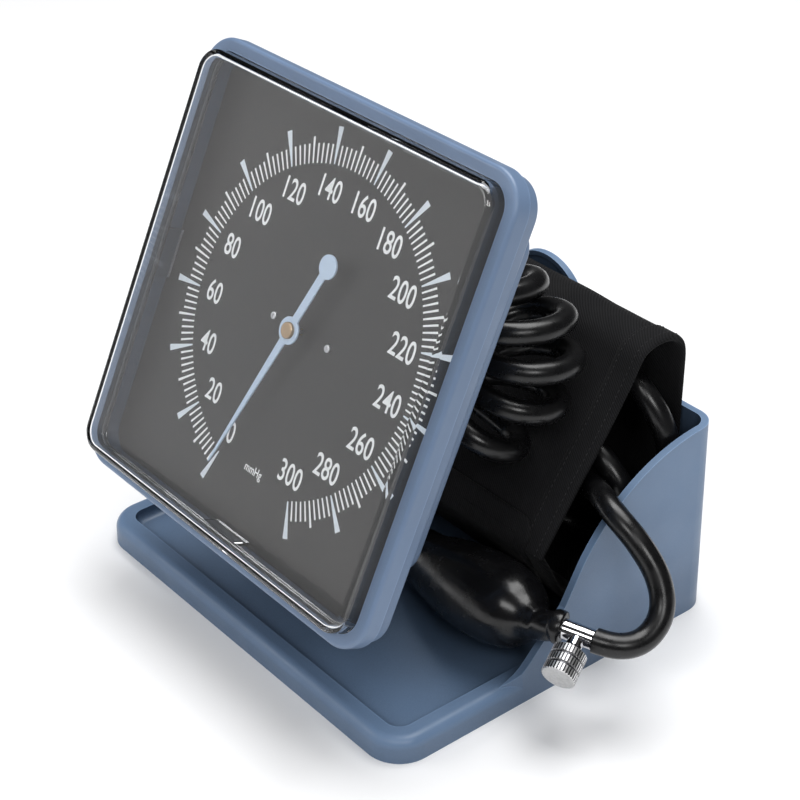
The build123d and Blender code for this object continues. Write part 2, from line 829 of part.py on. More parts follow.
def pillar_places():
    half_x = plate_half_width - pillar_inset
    rows = (plate_bottom_y + pillar_inset, plate_top_y - pillar_inset)
    return [(x, y) for x in (-half_x, half_x) for y in rows]


def movement_front_plate():
    plate = Pos(0, 0, -front_plate_back) * extrude(plate_outline(), plate_thickness)
    for x in (-dial_screw_x, dial_screw_x):
        plate += Pos(x, 0, 0) * rod(dial_post_radius, -front_plate_front, -dial_back - fit_gap / 2)
        plate -= Pos(x, 0, 0) * rod(dial_screw_radius + fit_gap / 2, -front_plate_back - 1, 0)
    for x, y in pillar_places():
        plate -= Pos(x, y, 0) * rod(pillar_neck_radius + fit_gap / 2, -front_plate_back - 1, 0)
    plate -= rod(arbor_radius + running_gap, -front_plate_back - 1, 0)
    plate -= Pos(0, sector_y, 0) * rod(arbor_radius + running_gap, -front_plate_back - 1, 0)
    return plate


def movement_rear_plate():
    plate = Pos(0, 0, -rear_plate_back) * extrude(plate_outline(), plate_thickness)
    for x, y in pillar_places():
        plate -= Pos(x, y, 0) * rod(pillar_neck_radius + fit_gap / 2, -rear_plate_back - 1, 0)
    plate -= rod(arbor_radius + running_gap, -rear_plate_back - 1, 0)
    plate -= Pos(0, sector_y, 0) * rod(arbor_radius + running_gap, -rear_plate_back - 1, 0)
    slot_back = peg_y - 1.2
    slot_front = rocker_y + 1.4
    plate -= Pos(finger_x, (slot_back + slot_front) / 2, -rear_plate_back) * Box(
        rocker_finger_width + 0.8, slot_front - slot_back, 4 * plate_thickness
    )
    ear_depth = rocker_depth + rocker_shaft_radius + 0.7
    for x in (-rocker_ear_x, rocker_ear_x):
        ear = Pos(x, rocker_y, -(ear_depth + rear_plate_back) / 2 + 0.1) * Box(
            rocker_ear_thickness, 3.4, ear_depth - rear_plate_back + 0.2
        )
        plate += ear
    plate -= Pos(0, rocker_y, -rocker_depth) * rod_x(rocker_shaft_radius + running_gap, -9, 9)
    return plate


def movement_pillars():
    """Stepped pillars from the base through the rear plate to the front plate."""
    pillar = rod(pillar_radius, -base_front + fit_gap / 2, -rear_plate_back - fit_gap / 2)
    pillar += rod(pillar_neck_radius, -rear_plate_back - 1, -rear_plate_front + 1)
    pillar += rod(pillar_radius, -rear_plate_front + fit_gap / 2, -front_plate_back - fit_gap / 2)
    pillar += rod(pillar_neck_radius, -front_plate_back - 1, -front_plate_front + 0.4)
    return Compound([Pos(x, y, 0) * pillar for x, y in pillar_places()])


def base_screw_places():
    side = base_half_width - base_screw_inset
    low_y = plate_bottom_y + base_screw_low_rise
    return [(-side, base_screw_y), (side, base_screw_y), (side, low_y)]


def movement_base():
    """Pressure block that carries the capsule, the pillars and the hose nipple."""
    low_y = plate_bottom_y - 3
    high_y = plate_top_y + 4
    block = Pos(0, (low_y + high_y) / 2, -case_inner_back + fit_gap / 2) * extrude(
        RectangleRounded(2 * base_half_width, high_y - low_y, base_corner),
        case_inner_back - base_front - fit_gap / 2,
    )
    for x, y in base_screw_places():
        block -= Pos(x, y, 0) * rod(base_screw_radius + fit_gap / 2, -case_inner_back - 1, 0)
    port = rod(nipple_barb_radius + fit_gap, -case_inner_back - 1, -base_front + 1)
    block -= Pos(nipple_x, -pivot_drop, 0) * port
    return block


def base_screws():
    head = rod(base_screw_head_radius, -case_back - base_screw_head_height, -case_back - fit_gap / 2)
    head = fillet(head.edges().sort_by(Axis.Z)[0], 0.7)
    screw = head + rod(base_screw_radius, -case_back - 0.5, -case_back + base_screw_length)
    cross = cross_slot(screw_slot_length, screw_slot_width, screw_slot_depth)
    screw -= Pos(0, 0, -case_back - base_screw_head_height) * cross
    return Compound([Pos(x, y, 0) * screw for x, y in base_screw_places()])


def capsule():
    """Pair of corrugated discs, sealed at the rim."""
    half = capsule_height / 2
    middle = -(capsule_front + base_front) / 2
    wave_width = (capsule_radius - capsule_rim_width - capsule_boss_radius) / (2 * capsule_waves)
    top = [Line((0, half), (capsule_boss_radius, half))]
    x = capsule_boss_radius
    z = half
    for index in range(2 * capsule_waves):
        valley = half - capsule_boss_height
        lower = valley if index % 2 == 0 else valley + capsule_wave_height
        top.append(Line((x, z), (x + wave_width, lower)))
        x += wave_width
        z = lower
    edge = capsule_rim_thickness / 2
    rim = [Line((x, z), (capsule_radius, edge)), Line((capsule_radius, edge), (capsule_radius, 0))]
    upper = top + rim + [Line((capsule_radius, 0), (0, 0)), Line((0, 0), (0, half))]
    profile = Plane.XZ * make_face(upper)
    body = revolve(profile, Axis.Z)
    body += mirror(body, about=Plane.XY)
    body = Pos(0, capsule_y, middle) * body
    above_base = Pos(0, capsule_y, -base_front + fit_gap / 2) * Box(
        4 * capsule_radius, 4 * capsule_radius, 2 * capsule_height,
        align=(Align.CENTER, Align.CENTER, Align.MIN),
    )
    return body & above_base


def push_pin():
    foot = rod(push_pin_foot_radius, -capsule_front + fit_gap / 2, -capsule_front + push_pin_foot_height)
    tip_depth = rocker_depth + rocker_arm_thickness / 2 + lift_gap
    pin = rod(push_pin_radius, -capsule_front + push_pin_foot_height - 0.1, -tip_depth)
    pin = fillet(pin.edges().sort_by(Axis.Z)[-1], push_pin_radius - 0.05)
    return Pos(0, capsule_y, 0) * (foot + pin)


def rocker_lever():
    """Cross shaft with an arm over the push pin and a finger beside the sector's peg."""
    shaft = rod_x(rocker_shaft_radius, -rocker_shaft_half_length, rocker_shaft_half_length)
    hub = rod_x(rocker_hub_radius, finger_x - 1.0, rocker_ear_x - rocker_ear_thickness)
    arm_length = rocker_lever_length + rocker_arm_spare
    arm = Box(
        rocker_arm_width, arm_length, rocker_arm_thickness,
        align=(Align.CENTER, Align.MIN, Align.CENTER),
    )
    finger_length = rocker_depth - sector_back - lift_gap
    finger = Pos(finger_x, 0, 0) * Box(
        rocker_finger_width, rocker_finger_thickness, finger_length,
        align=(Align.CENTER, Align.CENTER, Align.MIN),
    )
    return Pos(0, rocker_y, -rocker_depth) * (shaft + hub + arm + finger)


def sector_gear():
    """Toothed segment at the lower end of its swing, with a pierced web."""
    step = 360 / sector_full_teeth
    kept = int((sector_swing + 2 * sector_spare) / step)
    middle = 90 - sector_swing / 2
    first = 90 + step * round((middle - 90) / step - (kept - 1) / 2)
    centre_angle = first + step * (kept - 1) / 2
    teeth = involute_gear(sector_full_teeth, kept, sector_addendum, centre_angle)
    half_angle = radians(step * kept / 2)
    inner = sector_pitch_radius - 1.2 * gear_module - sector_rim
    low = radians(centre_angle) - half_angle
    high = radians(centre_angle) + half_angle
    outline = [(inner * cos(low), inner * sin(low))] + teeth + [(inner * cos(high), inner * sin(high))]
    steps = 8
    for index in range(1, steps):
        angle = high - (high - low) * index / steps
        outline.append((inner * cos(angle), inner * sin(angle)))
    rim = make_face(Polyline(*outline, outline[0]))
    spokes = []
    for angle in (low + radians(3), high - radians(3)):
        spoke = Rot(0, 0, degrees(angle)) * Pos((inner + 1) / 2, 0) * Rectangle(inner + 1, sector_web)
        spokes.append(spoke)
    flat = rim + spokes + Circle(sector_hub_radius)
    plate = Pos(0, 0, -sector_back) * extrude(flat, sector_thickness)
    plate -= rod(arbor_radius + fit_gap / 5, -sector_back - 1, 0)
    peg = Pos(finger_x, peg_y - sector_y, 0) * rod(peg_radius, -sector_back - peg_length, -sector_back + 0.1)
    return Pos(0, sector_y, 0) * (plate + peg)


def sector_arbor():
    start = -rear_plate_back + 0.2
    end = -front_plate_front - 0.2
    shaft = rod(arbor_radius, start, end)
    collar = rod(1.6, -sector_back + sector_thickness + fit_gap / 2, -sector_back + sector_thickness + 0.8)
    return Pos(0, sector_y, 0) * (shaft + collar)


def pinion():
    """Small gear cut on the pointer's arbor."""
    teeth = involute_gear(pinion_teeth, pinion_teeth, 0.9, 90 + 180 / pinion_teeth * (pinion_teeth % 2))
    gear = make_face(Polyline(*teeth, teeth[0]))
    middle = sector_back - sector_thickness / 2
    body = Pos(0, 0, -middle - pinion_height / 2) * extrude(gear, pinion_height)
    body += rod(arbor_radius, -rear_plate_back + 0.2, -pointer_back + pointer_thickness + 1.0)
    return body


def hairspring():
    """Flat spiral of half rings, each centred half a pitch from the last."""
    depth = front_plate_back + hairspring_below_plate
    band = []
    radius = hairspring_inner_radius
    centre = 0.0
    for index in range(2 * hairspring_turns):
        side = 1 if index % 2 == 0 else -1
        ring = Circle(radius + hairspring_width / 2) - Circle(radius - hairspring_width / 2)
        half = ring & Pos(0, side * radius) * Rectangle(4 * radius, 2 * radius)
        band.append(Pos(centre, 0) * half)
        radius += hairspring_pitch / 4
        centre -= side * hairspring_pitch / 4
    flat = band[0]
    for piece in band[1:]:
        flat += piece
    return Pos(0, 0, -depth - hairspring_height) * extrude(flat, hairspring_height)


def hairspring_end_x():
    """Place of the spiral's outer end on the X axis."""
    return hairspring_inner_radius + hairspring_turns * hairspring_pitch / 2


def hairspring_stud():
    depth = front_plate_back + hairspring_below_plate
    outer = hairspring_end_x() + hairspring_width / 2 + fit_gap
    stud = rod(hairspring_stud_radius, -depth - hairspring_height, -front_plate_back - fit_gap / 2)
    return Pos(outer + hairspring_stud_radius, 0, 0) * stud


# Pointer: drawn pointing up, then turned back to its rest a little under the scale's zero
def pointer():
    root = pointer_root_width / 2
    tip = pointer_tip_width / 2
    shoulder = pointer_tip_length - 1
    arm = make_face(Polyline(
        (-root, 0), (-tip, shoulder), (0, pointer_tip_length), (tip, shoulder), (root, 0), (-root, 0)
    ))
    tail = Pos(0, -pointer_tail_length / 2) * Rectangle(pointer_tail_width, pointer_tail_length)
    disc = Pos(0, -pointer_tail_length) * Circle(pointer_disc_radius)
    flat = arm + tail + Circle(pointer_hub_radius) + disc
    flat -= Circle(boss_radius + fit_gap / 5)
    blade = Pos(0, 0, -pointer_back) * extrude(flat, pointer_thickness)
    return Rot(0, 0, pointer_rest_angle) * blade


def pointer_boss():
    boss = rod(boss_radius, -pointer_back - 1.2, -pointer_back - 1.2 + boss_height)
    boss = fillet(boss.edges().sort_by(Axis.Z)[-1], 0.5)
    boss -= rod(arbor_radius + fit_gap / 5, -dial_back, -pointer_back + pointer_thickness + 1.05)
    return boss


# Pressure connection
def gauge_nipple():
    inner_end = pivot_depth - base_front - 0.5
    leg = Pos(nipple_x, 0, 0) * rod(nipple_barb_radius, 0, inner_end)
    sleeve = Pos(nipple_x, 0, 0) * rod(nipple_radius, 0, pivot_depth - case_inner_back - fit_gap / 2)
    flange_height = pivot_behind_case - fit_gap / 2
    flange = Pos(nipple_x, 0, 0) * rod(nipple_base_radius, flange_height - nipple_base_height, flange_height)
    elbow = Pos(nipple_x, 0, 0) * Sphere(nipple_radius)
    spout = rod_x(nipple_radius, nipple_x - 6.5, nipple_x) + rod_x(nipple_barb_radius, nipple_end_x, nipple_x)
    barb_length = 3.0
    for index in range(2):
        start = nipple_end_x + index * barb_length
        barb = Pos(start, 0, 0) * Rot(0, 90, 0) * Cone(
            nipple_barb_radius, nipple_barb_radius + nipple_barb_step, barb_length,
            align=(Align.CENTER, Align.CENTER, Align.MIN),
        )
        spout += barb
    return on_pivot(leg + sleeve + flange + elbow + spout)


def gauge_ferrule():
    inner = hose_radius + 0.3
    start = nipple_end_x - ferrule_length / 2
    end = start + ferrule_length
    sleeve = rod_x(inner + ferrule_wall, start, end) - rod_x(inner, start - 1, end - ferrule_wall)
    sleeve -= rod_x(nipple_barb_radius + 0.55, start, end + 1)
    return on_pivot(sleeve)


# Coiled hose
def bezier(values, share):
    """Point of a Bezier curve with the given control values."""
    while len(values) > 1:
        values = [a * (1 - share) + b * share for a, b in zip(values, values[1:])]
    return values[0]


def coil_point(share):
    """Centre of the hose along its coil, from the upper end at 0 to the lower end at 1."""
    centre = bezier([Vector(*point) for point in coil_axis_points], share)
    angle = radians(coil_start_angle + (coil_end_angle - coil_start_angle) * share)
    roll = radians(bezier(coil_roll, share))
    pitch = radians(bezier(coil_pitch, share))
    across = Vector(cos(radians(coil_heading)), sin(radians(coil_heading)), 0)
    away = Vector(-sin(radians(coil_heading)), cos(radians(coil_heading)), 0)
    up = Vector(0, 0, 1)
    right = across * cos(roll) + up * sin(roll)
    normal = up * cos(roll) - across * sin(roll)
    back = away * cos(pitch) + normal * sin(pitch)
    return centre + right * (coil_radius * cos(angle)) + back * (coil_radius * sin(angle))


def coil_direction(share):
    step = 0.0001
    return (coil_point(share + step) - coil_point(share - step)).normalized()


def coil_ends():
    """Outer ends of the coil's straight stubs."""
    stub = 2 * hose_radius
    upper = coil_point(0) - coil_direction(0) * stub
    lower = coil_point(1) + coil_direction(1) * stub
    return upper, lower


def gauge_hose_coil():
    quarters = round((coil_end_angle - coil_start_angle) / 90)
    upper, lower = coil_ends()
    edges = [Edge.make_line(upper, coil_point(0))]
    for index in range(quarters):
        here = index / quarters
        there = (index + 1) / quarters
        edges += biarc(coil_point(here), coil_direction(here), coil_point(there), coil_direction(there))
    edges.append(Edge.make_line(coil_point(1), lower))
    path = Wire(edges)
    section = Plane(origin=upper, z_dir=coil_direction(0)) * Circle(hose_radius)
    tube = sweep(section, path=path)
    share = tube.volume / (pi * hose_radius ** 2 * path.length)
    print("gauge_hose_coil length", round(path.length, 1), "volume share", round(share, 4))
    arcs = [edge.radius for edge in path.edges() if edge.geom_type == GeomType.CIRCLE]
    print("  tightest arc", round(min(arcs), 1))
    count = quarters * 12
    samples = [coil_point(index / count) for index in range(count + 1)]
    apart = count * 180 // round(coil_end_angle - coil_start_angle)
    gap = min(
        (samples[i] - samples[j]).length for i in range(count + 1) for j in range(i + apart, count + 1)
    ) - 2 * hose_radius
    print("  least gap to itself", round(gap, 2))
    return tube


def hose_start():
    """Face of the gauge's nipple, where the coiled hose begins."""
    return Vector(nipple_end_x - hose_seat_gap, pivot_point.Y, pivot_point.Z)


def gauge_hose_upper():
    start = hose_start()
    upper, lower = coil_ends()
    leaving = start - Vector(first_run, 0, 0)
    arriving = upper - coil_direction(0) * last_run
    return tube_along("gauge_hose_upper", [start, leaving] + upper_lead_points + [arriving, upper])


def neck_end(height):
    """Outer end of a bladder neck, in the middle of the flap."""
    front_y = cuff_front_y + (height - cuff_front_z) * cuff_slope()
    depth = (flap_start + flap_thickness / 2) * hypot(1, cuff_slope())
    return Vector(neck_end_x, front_y + depth, height)


def gauge_hose_lower():
    upper, lower = coil_ends()
    leaving = lower + coil_direction(1) * first_run
    end = neck_end(lower_neck_z) + Vector(fit_gap, 0, 0)
    arriving = end + Vector(last_run, 0, 0)
    return tube_along("gauge_hose_lower", [lower, leaving] + lower_lead_points + [arriving, end])


def valve_frame():
    """Frame of the release valve: Z along its body and X out of its side boss."""
    along = unit(valve_direction)
    side = unit(knob_direction)
    side = (side - along * side.dot(along)).normalized()
    return Plane(origin=valve_centre, x_dir=side, z_dir=along)


def bulb_hose():
    frame = valve_frame()
    start = neck_end(upper_neck_z) + Vector(fit_gap, 0, 0)
    leaving = start + Vector(first_run, 0, 0)
    end = frame.from_local_coords(Vector(0, 0, valve_length / 2 + fit_gap))
    arriving = end + frame.z_dir * last_run
    return tube_along("bulb_hose", [start, leaving] + bulb_hose_points + [arriving, end])


# Cuff and bladder
def cuff_slope():
    return (cuff_top_front_y - cuff_front_y) / (cuff_top_front_z - cuff_front_z)


def cuff():
    floor_z = stand_floor + cuff_floor_gap
    outline = [
        Line((cuff_foot_y + cuff_foot_round, floor_z), (cuff_back_y - cuff_foot_round, floor_z)),
        TangentArc(
            (cuff_back_y - cuff_foot_round, floor_z), (cuff_back_y, floor_z + cuff_foot_round), tangent=(1, 0)
        ),
        Line((cuff_back_y, floor_z + cuff_foot_round), (cuff_top_back_y, cuff_top_back_z)),
        ThreePointArc(
            (cuff_top_back_y, cuff_top_back_z), (cuff_crown_back_y, cuff_crown_back_z),
            (cuff_crown_y, cuff_crown_z),
        ),
        ThreePointArc(
            (cuff_crown_y, cuff_crown_z), (cuff_crown_front_y, cuff_crown_front_z),
            (cuff_top_front_y, cuff_top_front_z),
        ),
        Line((cuff_top_front_y, cuff_top_front_z), (cuff_front_y, cuff_front_z)),
        Line((cuff_front_y, cuff_front_z), (cuff_belly_y, cuff_belly_z)),
        Line((cuff_belly_y, cuff_belly_z), (cuff_foot_y, floor_z + cuff_foot_round)),
        Line((cuff_foot_y, floor_z + cuff_foot_round), (cuff_foot_y + cuff_foot_round, floor_z)),
    ]
    section = make_face(outline)
    hollow = offset(section, -cuff_layer)
    loop = extrude(Plane.YZ * (section - hollow), cuff_half_width, both=True)
    flap_top_z = cuff_top_front_z - flap_top_drop
    flap = Plane.YZ * cuff_flap_section(flap_start, flap_start + flap_thickness, flap_bottom_z, flap_top_z)
    flap = extrude(flap, flap_end_x, both=True)
    flap &= extrude(Plane.YZ * section, cuff_half_width, both=True)
    body = loop + flap
    body -= bladder_space(bladder_pocket_gap)
    return body


def cuff_flap_section(near, far, bottom, top):
    """Slanted strip behind the cuff's front face, between two depths and two heights."""
    tilt = hypot(1, cuff_slope())
    points = []
    for depth, height in ((near, bottom), (near, top), (far, top), (far, bottom)):
        y = cuff_front_y + (height - cuff_front_z) * cuff_slope() + depth * tilt
        points.append((y, height))
    return make_face(Polyline(*points, points[0]))


def bladder_space(gap):
    """Flat rubber bag with its two necks, grown by a gap for its pocket."""
    middle = flap_start + flap_thickness / 2
    near = middle - bladder_thickness / 2 - gap
    far = middle + bladder_thickness / 2 + gap
    low_z = flap_bottom_z + bladder_bottom_rise - gap
    high_z = cuff_top_front_z - bladder_top_drop + gap
    bag = Plane.YZ * cuff_flap_section(near, far, low_z, high_z)
    bag = extrude(bag, bladder_half_width + gap, both=True)
    mouth = neck_end_x if gap == 0 else neck_end_x + 1
    for height in (upper_neck_z, lower_neck_z):
        place = neck_end(height)
        neck_radius = hose_radius + (neck_wall_gap if gap else 0)
        neck = Pos(0, place.Y, place.Z) * rod_x(neck_radius, neck_root_x - gap, mouth)
        bag += neck
    return bag


def bladder():
    return bladder_space(0)


# Bulb and inlet valve, made along Z from the bulb's widest place
def on_bulb(shape):
    return axis_plane(bulb_centre, bulb_direction, x_direction=None).location * shape


def bulb():
    back = -bulb_back_length + inlet_cap_thickness
    front = bulb_front_length
    swell = [
        (bulb_inlet_radius, back), (bulb_belly_radius, back + bulb_belly_length), (bulb_radius, 0),
        (bulb_shoulder_start_radius, bulb_shoulder_start_place),
        (bulb_shoulder_middle_radius, bulb_shoulder_middle_place),
        (bulb_shoulder_end_radius, bulb_shoulder_end_place), (bulb_shoulder_radius, front),
    ]
    side = Spline(*swell, tangents=[(0.5, 1), (-0.25, 1)])
    outline = [Line((0, back), swell[0]), side, Line(swell[-1], (0, front)), Line((0, front), (0, back))]
    body = revolve(Plane.XZ * make_face(outline), Axis.Z)
    body -= rod(inlet_stem_radius + fit_gap / 2, back - 1, back + inlet_stem_length + 0.2)
    body = on_bulb(body)
    return body + bulb_neck() - valve_socket()


def bulb_neck():
    """Neck that bends from the bulb over the tray's side to the valve, with its rolled collar."""
    frame = axis_plane(bulb_centre, bulb_direction)
    start = frame.from_local_coords(Vector(0, 0, bulb_front_length - bulb_neck_overlap))
    valve = valve_frame()
    collar_back = -valve_length / 2 - collar_length
    end = valve.from_local_coords(Vector(0, 0, collar_back + bulb_neck_overlap))
    path = Wire(biarc(start, frame.z_dir, end, valve.z_dir))
    tube = sweep(Plane(origin=start, z_dir=frame.z_dir) * Circle(bulb_neck_radius), path=path)
    collar = rod(collar_radius, collar_back, -valve_length / 2)
    collar = fillet(collar.edges().filter_by(GeomType.CIRCLE), collar_round)
    return tube + valve.location * collar


def valve_socket():
    start = -valve_length / 2 - valve_socket_length
    return valve_frame().location * rod(barb_radius + fit_gap / 2, start - 0.2, -valve_length / 2 + 1)


def inlet_valve():
    """Air inlet in the end of the bulb, with a ball chamber in its stem."""
    back = -bulb_back_length
    cap = rod(inlet_cap_radius, back, back + inlet_cap_thickness - fit_gap / 2)
    cap = fillet(cap.edges().sort_by(Axis.Z)[0], 0.6)
    stem_end = back + inlet_cap_thickness + inlet_stem_length
    body = cap + rod(inlet_stem_radius, back + 0.5, stem_end)
    body -= rod(inlet_hole_radius, back - 1, stem_end + 1)
    chamber_start = back + inlet_cap_thickness + 1.2
    body -= rod(inlet_chamber_radius, chamber_start, chamber_start + inlet_chamber_length)
    return on_bulb(body)


def inlet_ball():
    seat = -bulb_back_length + inlet_cap_thickness + 1.2
    return on_bulb(Pos(0, 0, seat + ball_radius + 0.05) * Sphere(ball_radius))


# Release valve, made along Z with the knob on +X
def release_valve_body():
    half = valve_length / 2
    body = rod(valve_radius, -half + 0.1, half)
    body = chamfer(body.edges().group_by(Axis.Z)[-1], 0.5)
    body += rod(barb_radius, -half - valve_socket_length, -half + 0.5)
    body += rod_x(side_boss_radius, 0, side_boss_end)
    body -= rod(valve_bore_radius, -half - valve_socket_length - 1, half + 1)
    body -= rod_x(needle_radius + running_gap, needle_start - 0.4, side_boss_end + 1)
    return valve_frame().location * body


def release_needle():
    needle = rod_x(needle_radius, needle_start + needle_cone_length, knob_start + 4)
    cone = Pos(needle_start, 0, 0) * Rot(0, 90, 0) * Cone(
        0.4, needle_radius, needle_cone_length, align=(Align.CENTER, Align.CENTER, Align.MIN)
    )
    return valve_frame().location * (needle + cone)


def knurled_band():
    points = []
    for index in range(2 * knob_teeth):
        radius = knob_radius - (knob_tooth_depth if index % 2 else 0)
        angle = pi * index / knob_teeth
        points.append((radius * cos(angle), radius * sin(angle)))
    return make_face(Polyline(*points, points[0]))


def release_knob():
    band_length = (knob_length - (knob_bands - 1) * knob_groove_width) / knob_bands
    knob = rod(knob_radius - knob_groove_depth, 0, knob_length)
    for index in range(knob_bands):
        start = index * (band_length + knob_groove_width)
        knob += Pos(0, 0, start) * extrude(knurled_band(), band_length)
    knob = Rot(0, 90, 0) * knob
    knob = Pos(knob_start, 0, 0) * knob
    knob -= rod_x(needle_radius + fit_gap / 5, knob_start - 1, knob_start + 4.1)
    return valve_frame().location * knob


def in_head(shape):
    return head_plane.location * shape


parts = {
    "stand_tray": stand_tray(),
    "rubber_feet": rubber_feet(),
    "support_arm": support_arm(),
    "arm_screws": arm_screws(),
    "pivot_bolt": pivot_bolt(),
    "pivot_nut": pivot_nut(),
    "friction_washers": friction_washers(),
    "rear_case": rear_case(),
    "front_bezel": in_head(front_bezel()),
    "lens": in_head(lens()),
    "lens_gasket": in_head(lens_gasket()),
    "dial_plate": in_head(dial_plate()),
    "dial_screws": in_head(dial_screws()),
    "movement_front_plate": in_head(movement_front_plate()),
    "movement_rear_plate": in_head(movement_rear_plate()),
    "movement_pillars": in_head(movement_pillars()),
    "movement_base": in_head(movement_base()),
    "base_screws": in_head(base_screws()),
    "capsule": in_head(capsule()),
    "push_pin": in_head(push_pin()),
    "rocker_lever": in_head(rocker_lever()),
    "sector_gear": in_head(sector_gear()),
    "sector_arbor": in_head(sector_arbor()),
    "pinion": in_head(pinion()),
    "hairspring": in_head(hairspring()),
    "hairspring_stud": in_head(hairspring_stud()),
    "pointer": in_head(pointer()),
    "pointer_boss": in_head(pointer_boss()),
    "gauge_nipple": gauge_nipple(),
    "gauge_ferrule": gauge_ferrule(),
    "gauge_hose_upper": gauge_hose_upper(),
    "gauge_hose_coil": gauge_hose_coil(),
    "gauge_hose_lower": gauge_hose_lower(),
    "cuff": cuff(),
    "bladder": bladder(),
    "bulb_hose": bulb_hose(),
    "bulb": bulb(),
    "inlet_valve": inlet_valve(),
    "inlet_ball": inlet_ball(),
    "release_valve_body": release_valve_body(),
    "release_needle": release_needle(),
    "release_knob": release_knob(),
}

os.makedirs("parts", exist_ok=True)
for name, shape in parts.items():
    export_step(shape, f"parts/{name}.step")
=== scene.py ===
from math import cos, pi, radians, sin

import bmesh
import bpy
from mathutils import Matrix, Vector


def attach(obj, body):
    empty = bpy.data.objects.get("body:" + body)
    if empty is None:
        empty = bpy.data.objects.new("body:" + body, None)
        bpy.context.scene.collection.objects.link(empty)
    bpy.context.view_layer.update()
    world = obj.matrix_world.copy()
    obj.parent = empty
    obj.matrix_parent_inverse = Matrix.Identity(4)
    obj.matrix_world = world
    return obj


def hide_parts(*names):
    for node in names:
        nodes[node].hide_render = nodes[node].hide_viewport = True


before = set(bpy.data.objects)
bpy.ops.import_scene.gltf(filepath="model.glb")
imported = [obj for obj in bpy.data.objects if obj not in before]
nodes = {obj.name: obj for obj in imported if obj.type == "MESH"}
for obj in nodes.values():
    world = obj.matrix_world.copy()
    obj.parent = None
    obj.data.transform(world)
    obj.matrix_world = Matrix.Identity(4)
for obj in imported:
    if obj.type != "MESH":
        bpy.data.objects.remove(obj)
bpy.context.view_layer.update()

MM = 0.001


def mm(x, y, z):
    return Vector((x, y, z)) * MM


# Camera, fitted to the photograph
CAMERA_PLACE = mm(483.1, -395.9, 456.8)
CAMERA_FORWARD = Vector((-0.6603, 0.5420, -0.5198)).normalized()
CAMERA_LENS = 87.5

camera_data = bpy.data.cameras.new("camera")
camera_data.lens = CAMERA_LENS
camera_data.sensor_width = 36.0
camera_data.clip_start = 0.01
camera_data.clip_end = 50.0
camera = bpy.data.objects.new("camera", camera_data)
bpy.context.scene.collection.objects.link(camera)
right = CAMERA_FORWARD.cross(Vector((0, 0, 1))).normalized()
upward = right.cross(CAMERA_FORWARD)
turn = Matrix((right, upward, -CAMERA_FORWARD)).transposed().to_4x4()
camera.matrix_world = Matrix.Translation(CAMERA_PLACE) @ turn
bpy.context.scene.camera = camera

# The head's own frame: X right, Y up the dial, Z out of it
HEAD_LEAN = radians(24.67)
head_x = Vector((1, 0, 0))
head_up = Vector((0, sin(HEAD_LEAN), cos(HEAD_LEAN)))
head_out = Vector((0, -cos(HEAD_LEAN), sin(HEAD_LEAN)))
HEAD_CENTRE = mm(0, -53.3, 126)
head_matrix = Matrix.Translation(HEAD_CENTRE) @ Matrix((head_x, head_up, head_out)).transposed().to_4x4()


# Material helpers, and the numbers they share
EDGE_RADIUS = 0.0007
EDGE_SAMPLES = 4
EDGE_HIGHLIGHT = 0.7
SHADE_SAMPLES = 6
SHADE_REACH = 0.09
SHADE_DARKEST = 0.35


def new_material(name):
    material = bpy.data.materials.new(name)
    material.use_nodes = True
    tree = material.node_tree
    shader = tree.nodes["Principled BSDF"]
    return material, tree, shader


def link(tree, source, target):
    tree.links.new(source, target)


def texture_place(tree, scale=(1, 1, 1), turn=(0, 0, 0)):
    """Object coordinates, scaled and turned."""
    coordinates = tree.nodes.new("ShaderNodeTexCoord")
    mapping = tree.nodes.new("ShaderNodeMapping")
    mapping.inputs["Scale"].default_value = scale
    mapping.inputs["Rotation"].default_value = turn
    link(tree, coordinates.outputs["Object"], mapping.inputs["Vector"])
    return mapping.outputs["Vector"]


def noise(tree, place, scale, detail=3.0, rough=0.5):
    node = tree.nodes.new("ShaderNodeTexNoise")
    node.inputs["Scale"].default_value = scale
    node.inputs["Detail"].default_value = detail
    node.inputs["Roughness"].default_value = rough
    link(tree, place, node.inputs["Vector"])
    return node.outputs["Fac"]


def ramp(tree, value, low, high, start=0.35, end=0.65):
    """Value spread between two numbers or two colours."""
    node = tree.nodes.new("ShaderNodeValToRGB")
    colours = [c if isinstance(c, tuple) else (c, c, c) for c in (low, high)]
    node.color_ramp.elements[0].position = start
    node.color_ramp.elements[1].position = end
    node.color_ramp.elements[0].color = (*colours[0], 1)
    node.color_ramp.elements[1].color = (*colours[1], 1)
    link(tree, value, node.inputs["Fac"])
    return node.outputs["Color"]


def bump(tree, shader, height, strength, distance, below=None):
    node = tree.nodes.new("ShaderNodeBump")
    node.inputs["Strength"].default_value = strength
    node.inputs["Distance"].default_value = distance
    link(tree, height, node.inputs["Height"])
    if below is not None:
        link(tree, below, node.inputs["Normal"])
    link(tree, node.outputs["Normal"], shader.inputs["Normal"])
    return node.outputs["Normal"]


def edge_mask(tree):
    """Mask of the painted edge highlight: nearly 1 along the edges of a moulding and 0 on its flats."""
    rounded = tree.nodes.new("ShaderNodeBevel")
    rounded.samples = EDGE_SAMPLES
    rounded.inputs["Radius"].default_value = EDGE_RADIUS
    surface = tree.nodes.new("ShaderNodeNewGeometry")
    likeness = tree.nodes.new("ShaderNodeVectorMath")
    likeness.operation = "DOT_PRODUCT"
    link(tree, rounded.outputs["Normal"], likeness.inputs[0])
    link(tree, surface.outputs["Normal"], likeness.inputs[1])
    return ramp(tree, likeness.outputs["Value"], EDGE_HIGHLIGHT, 0.0, 0.86, 0.985)


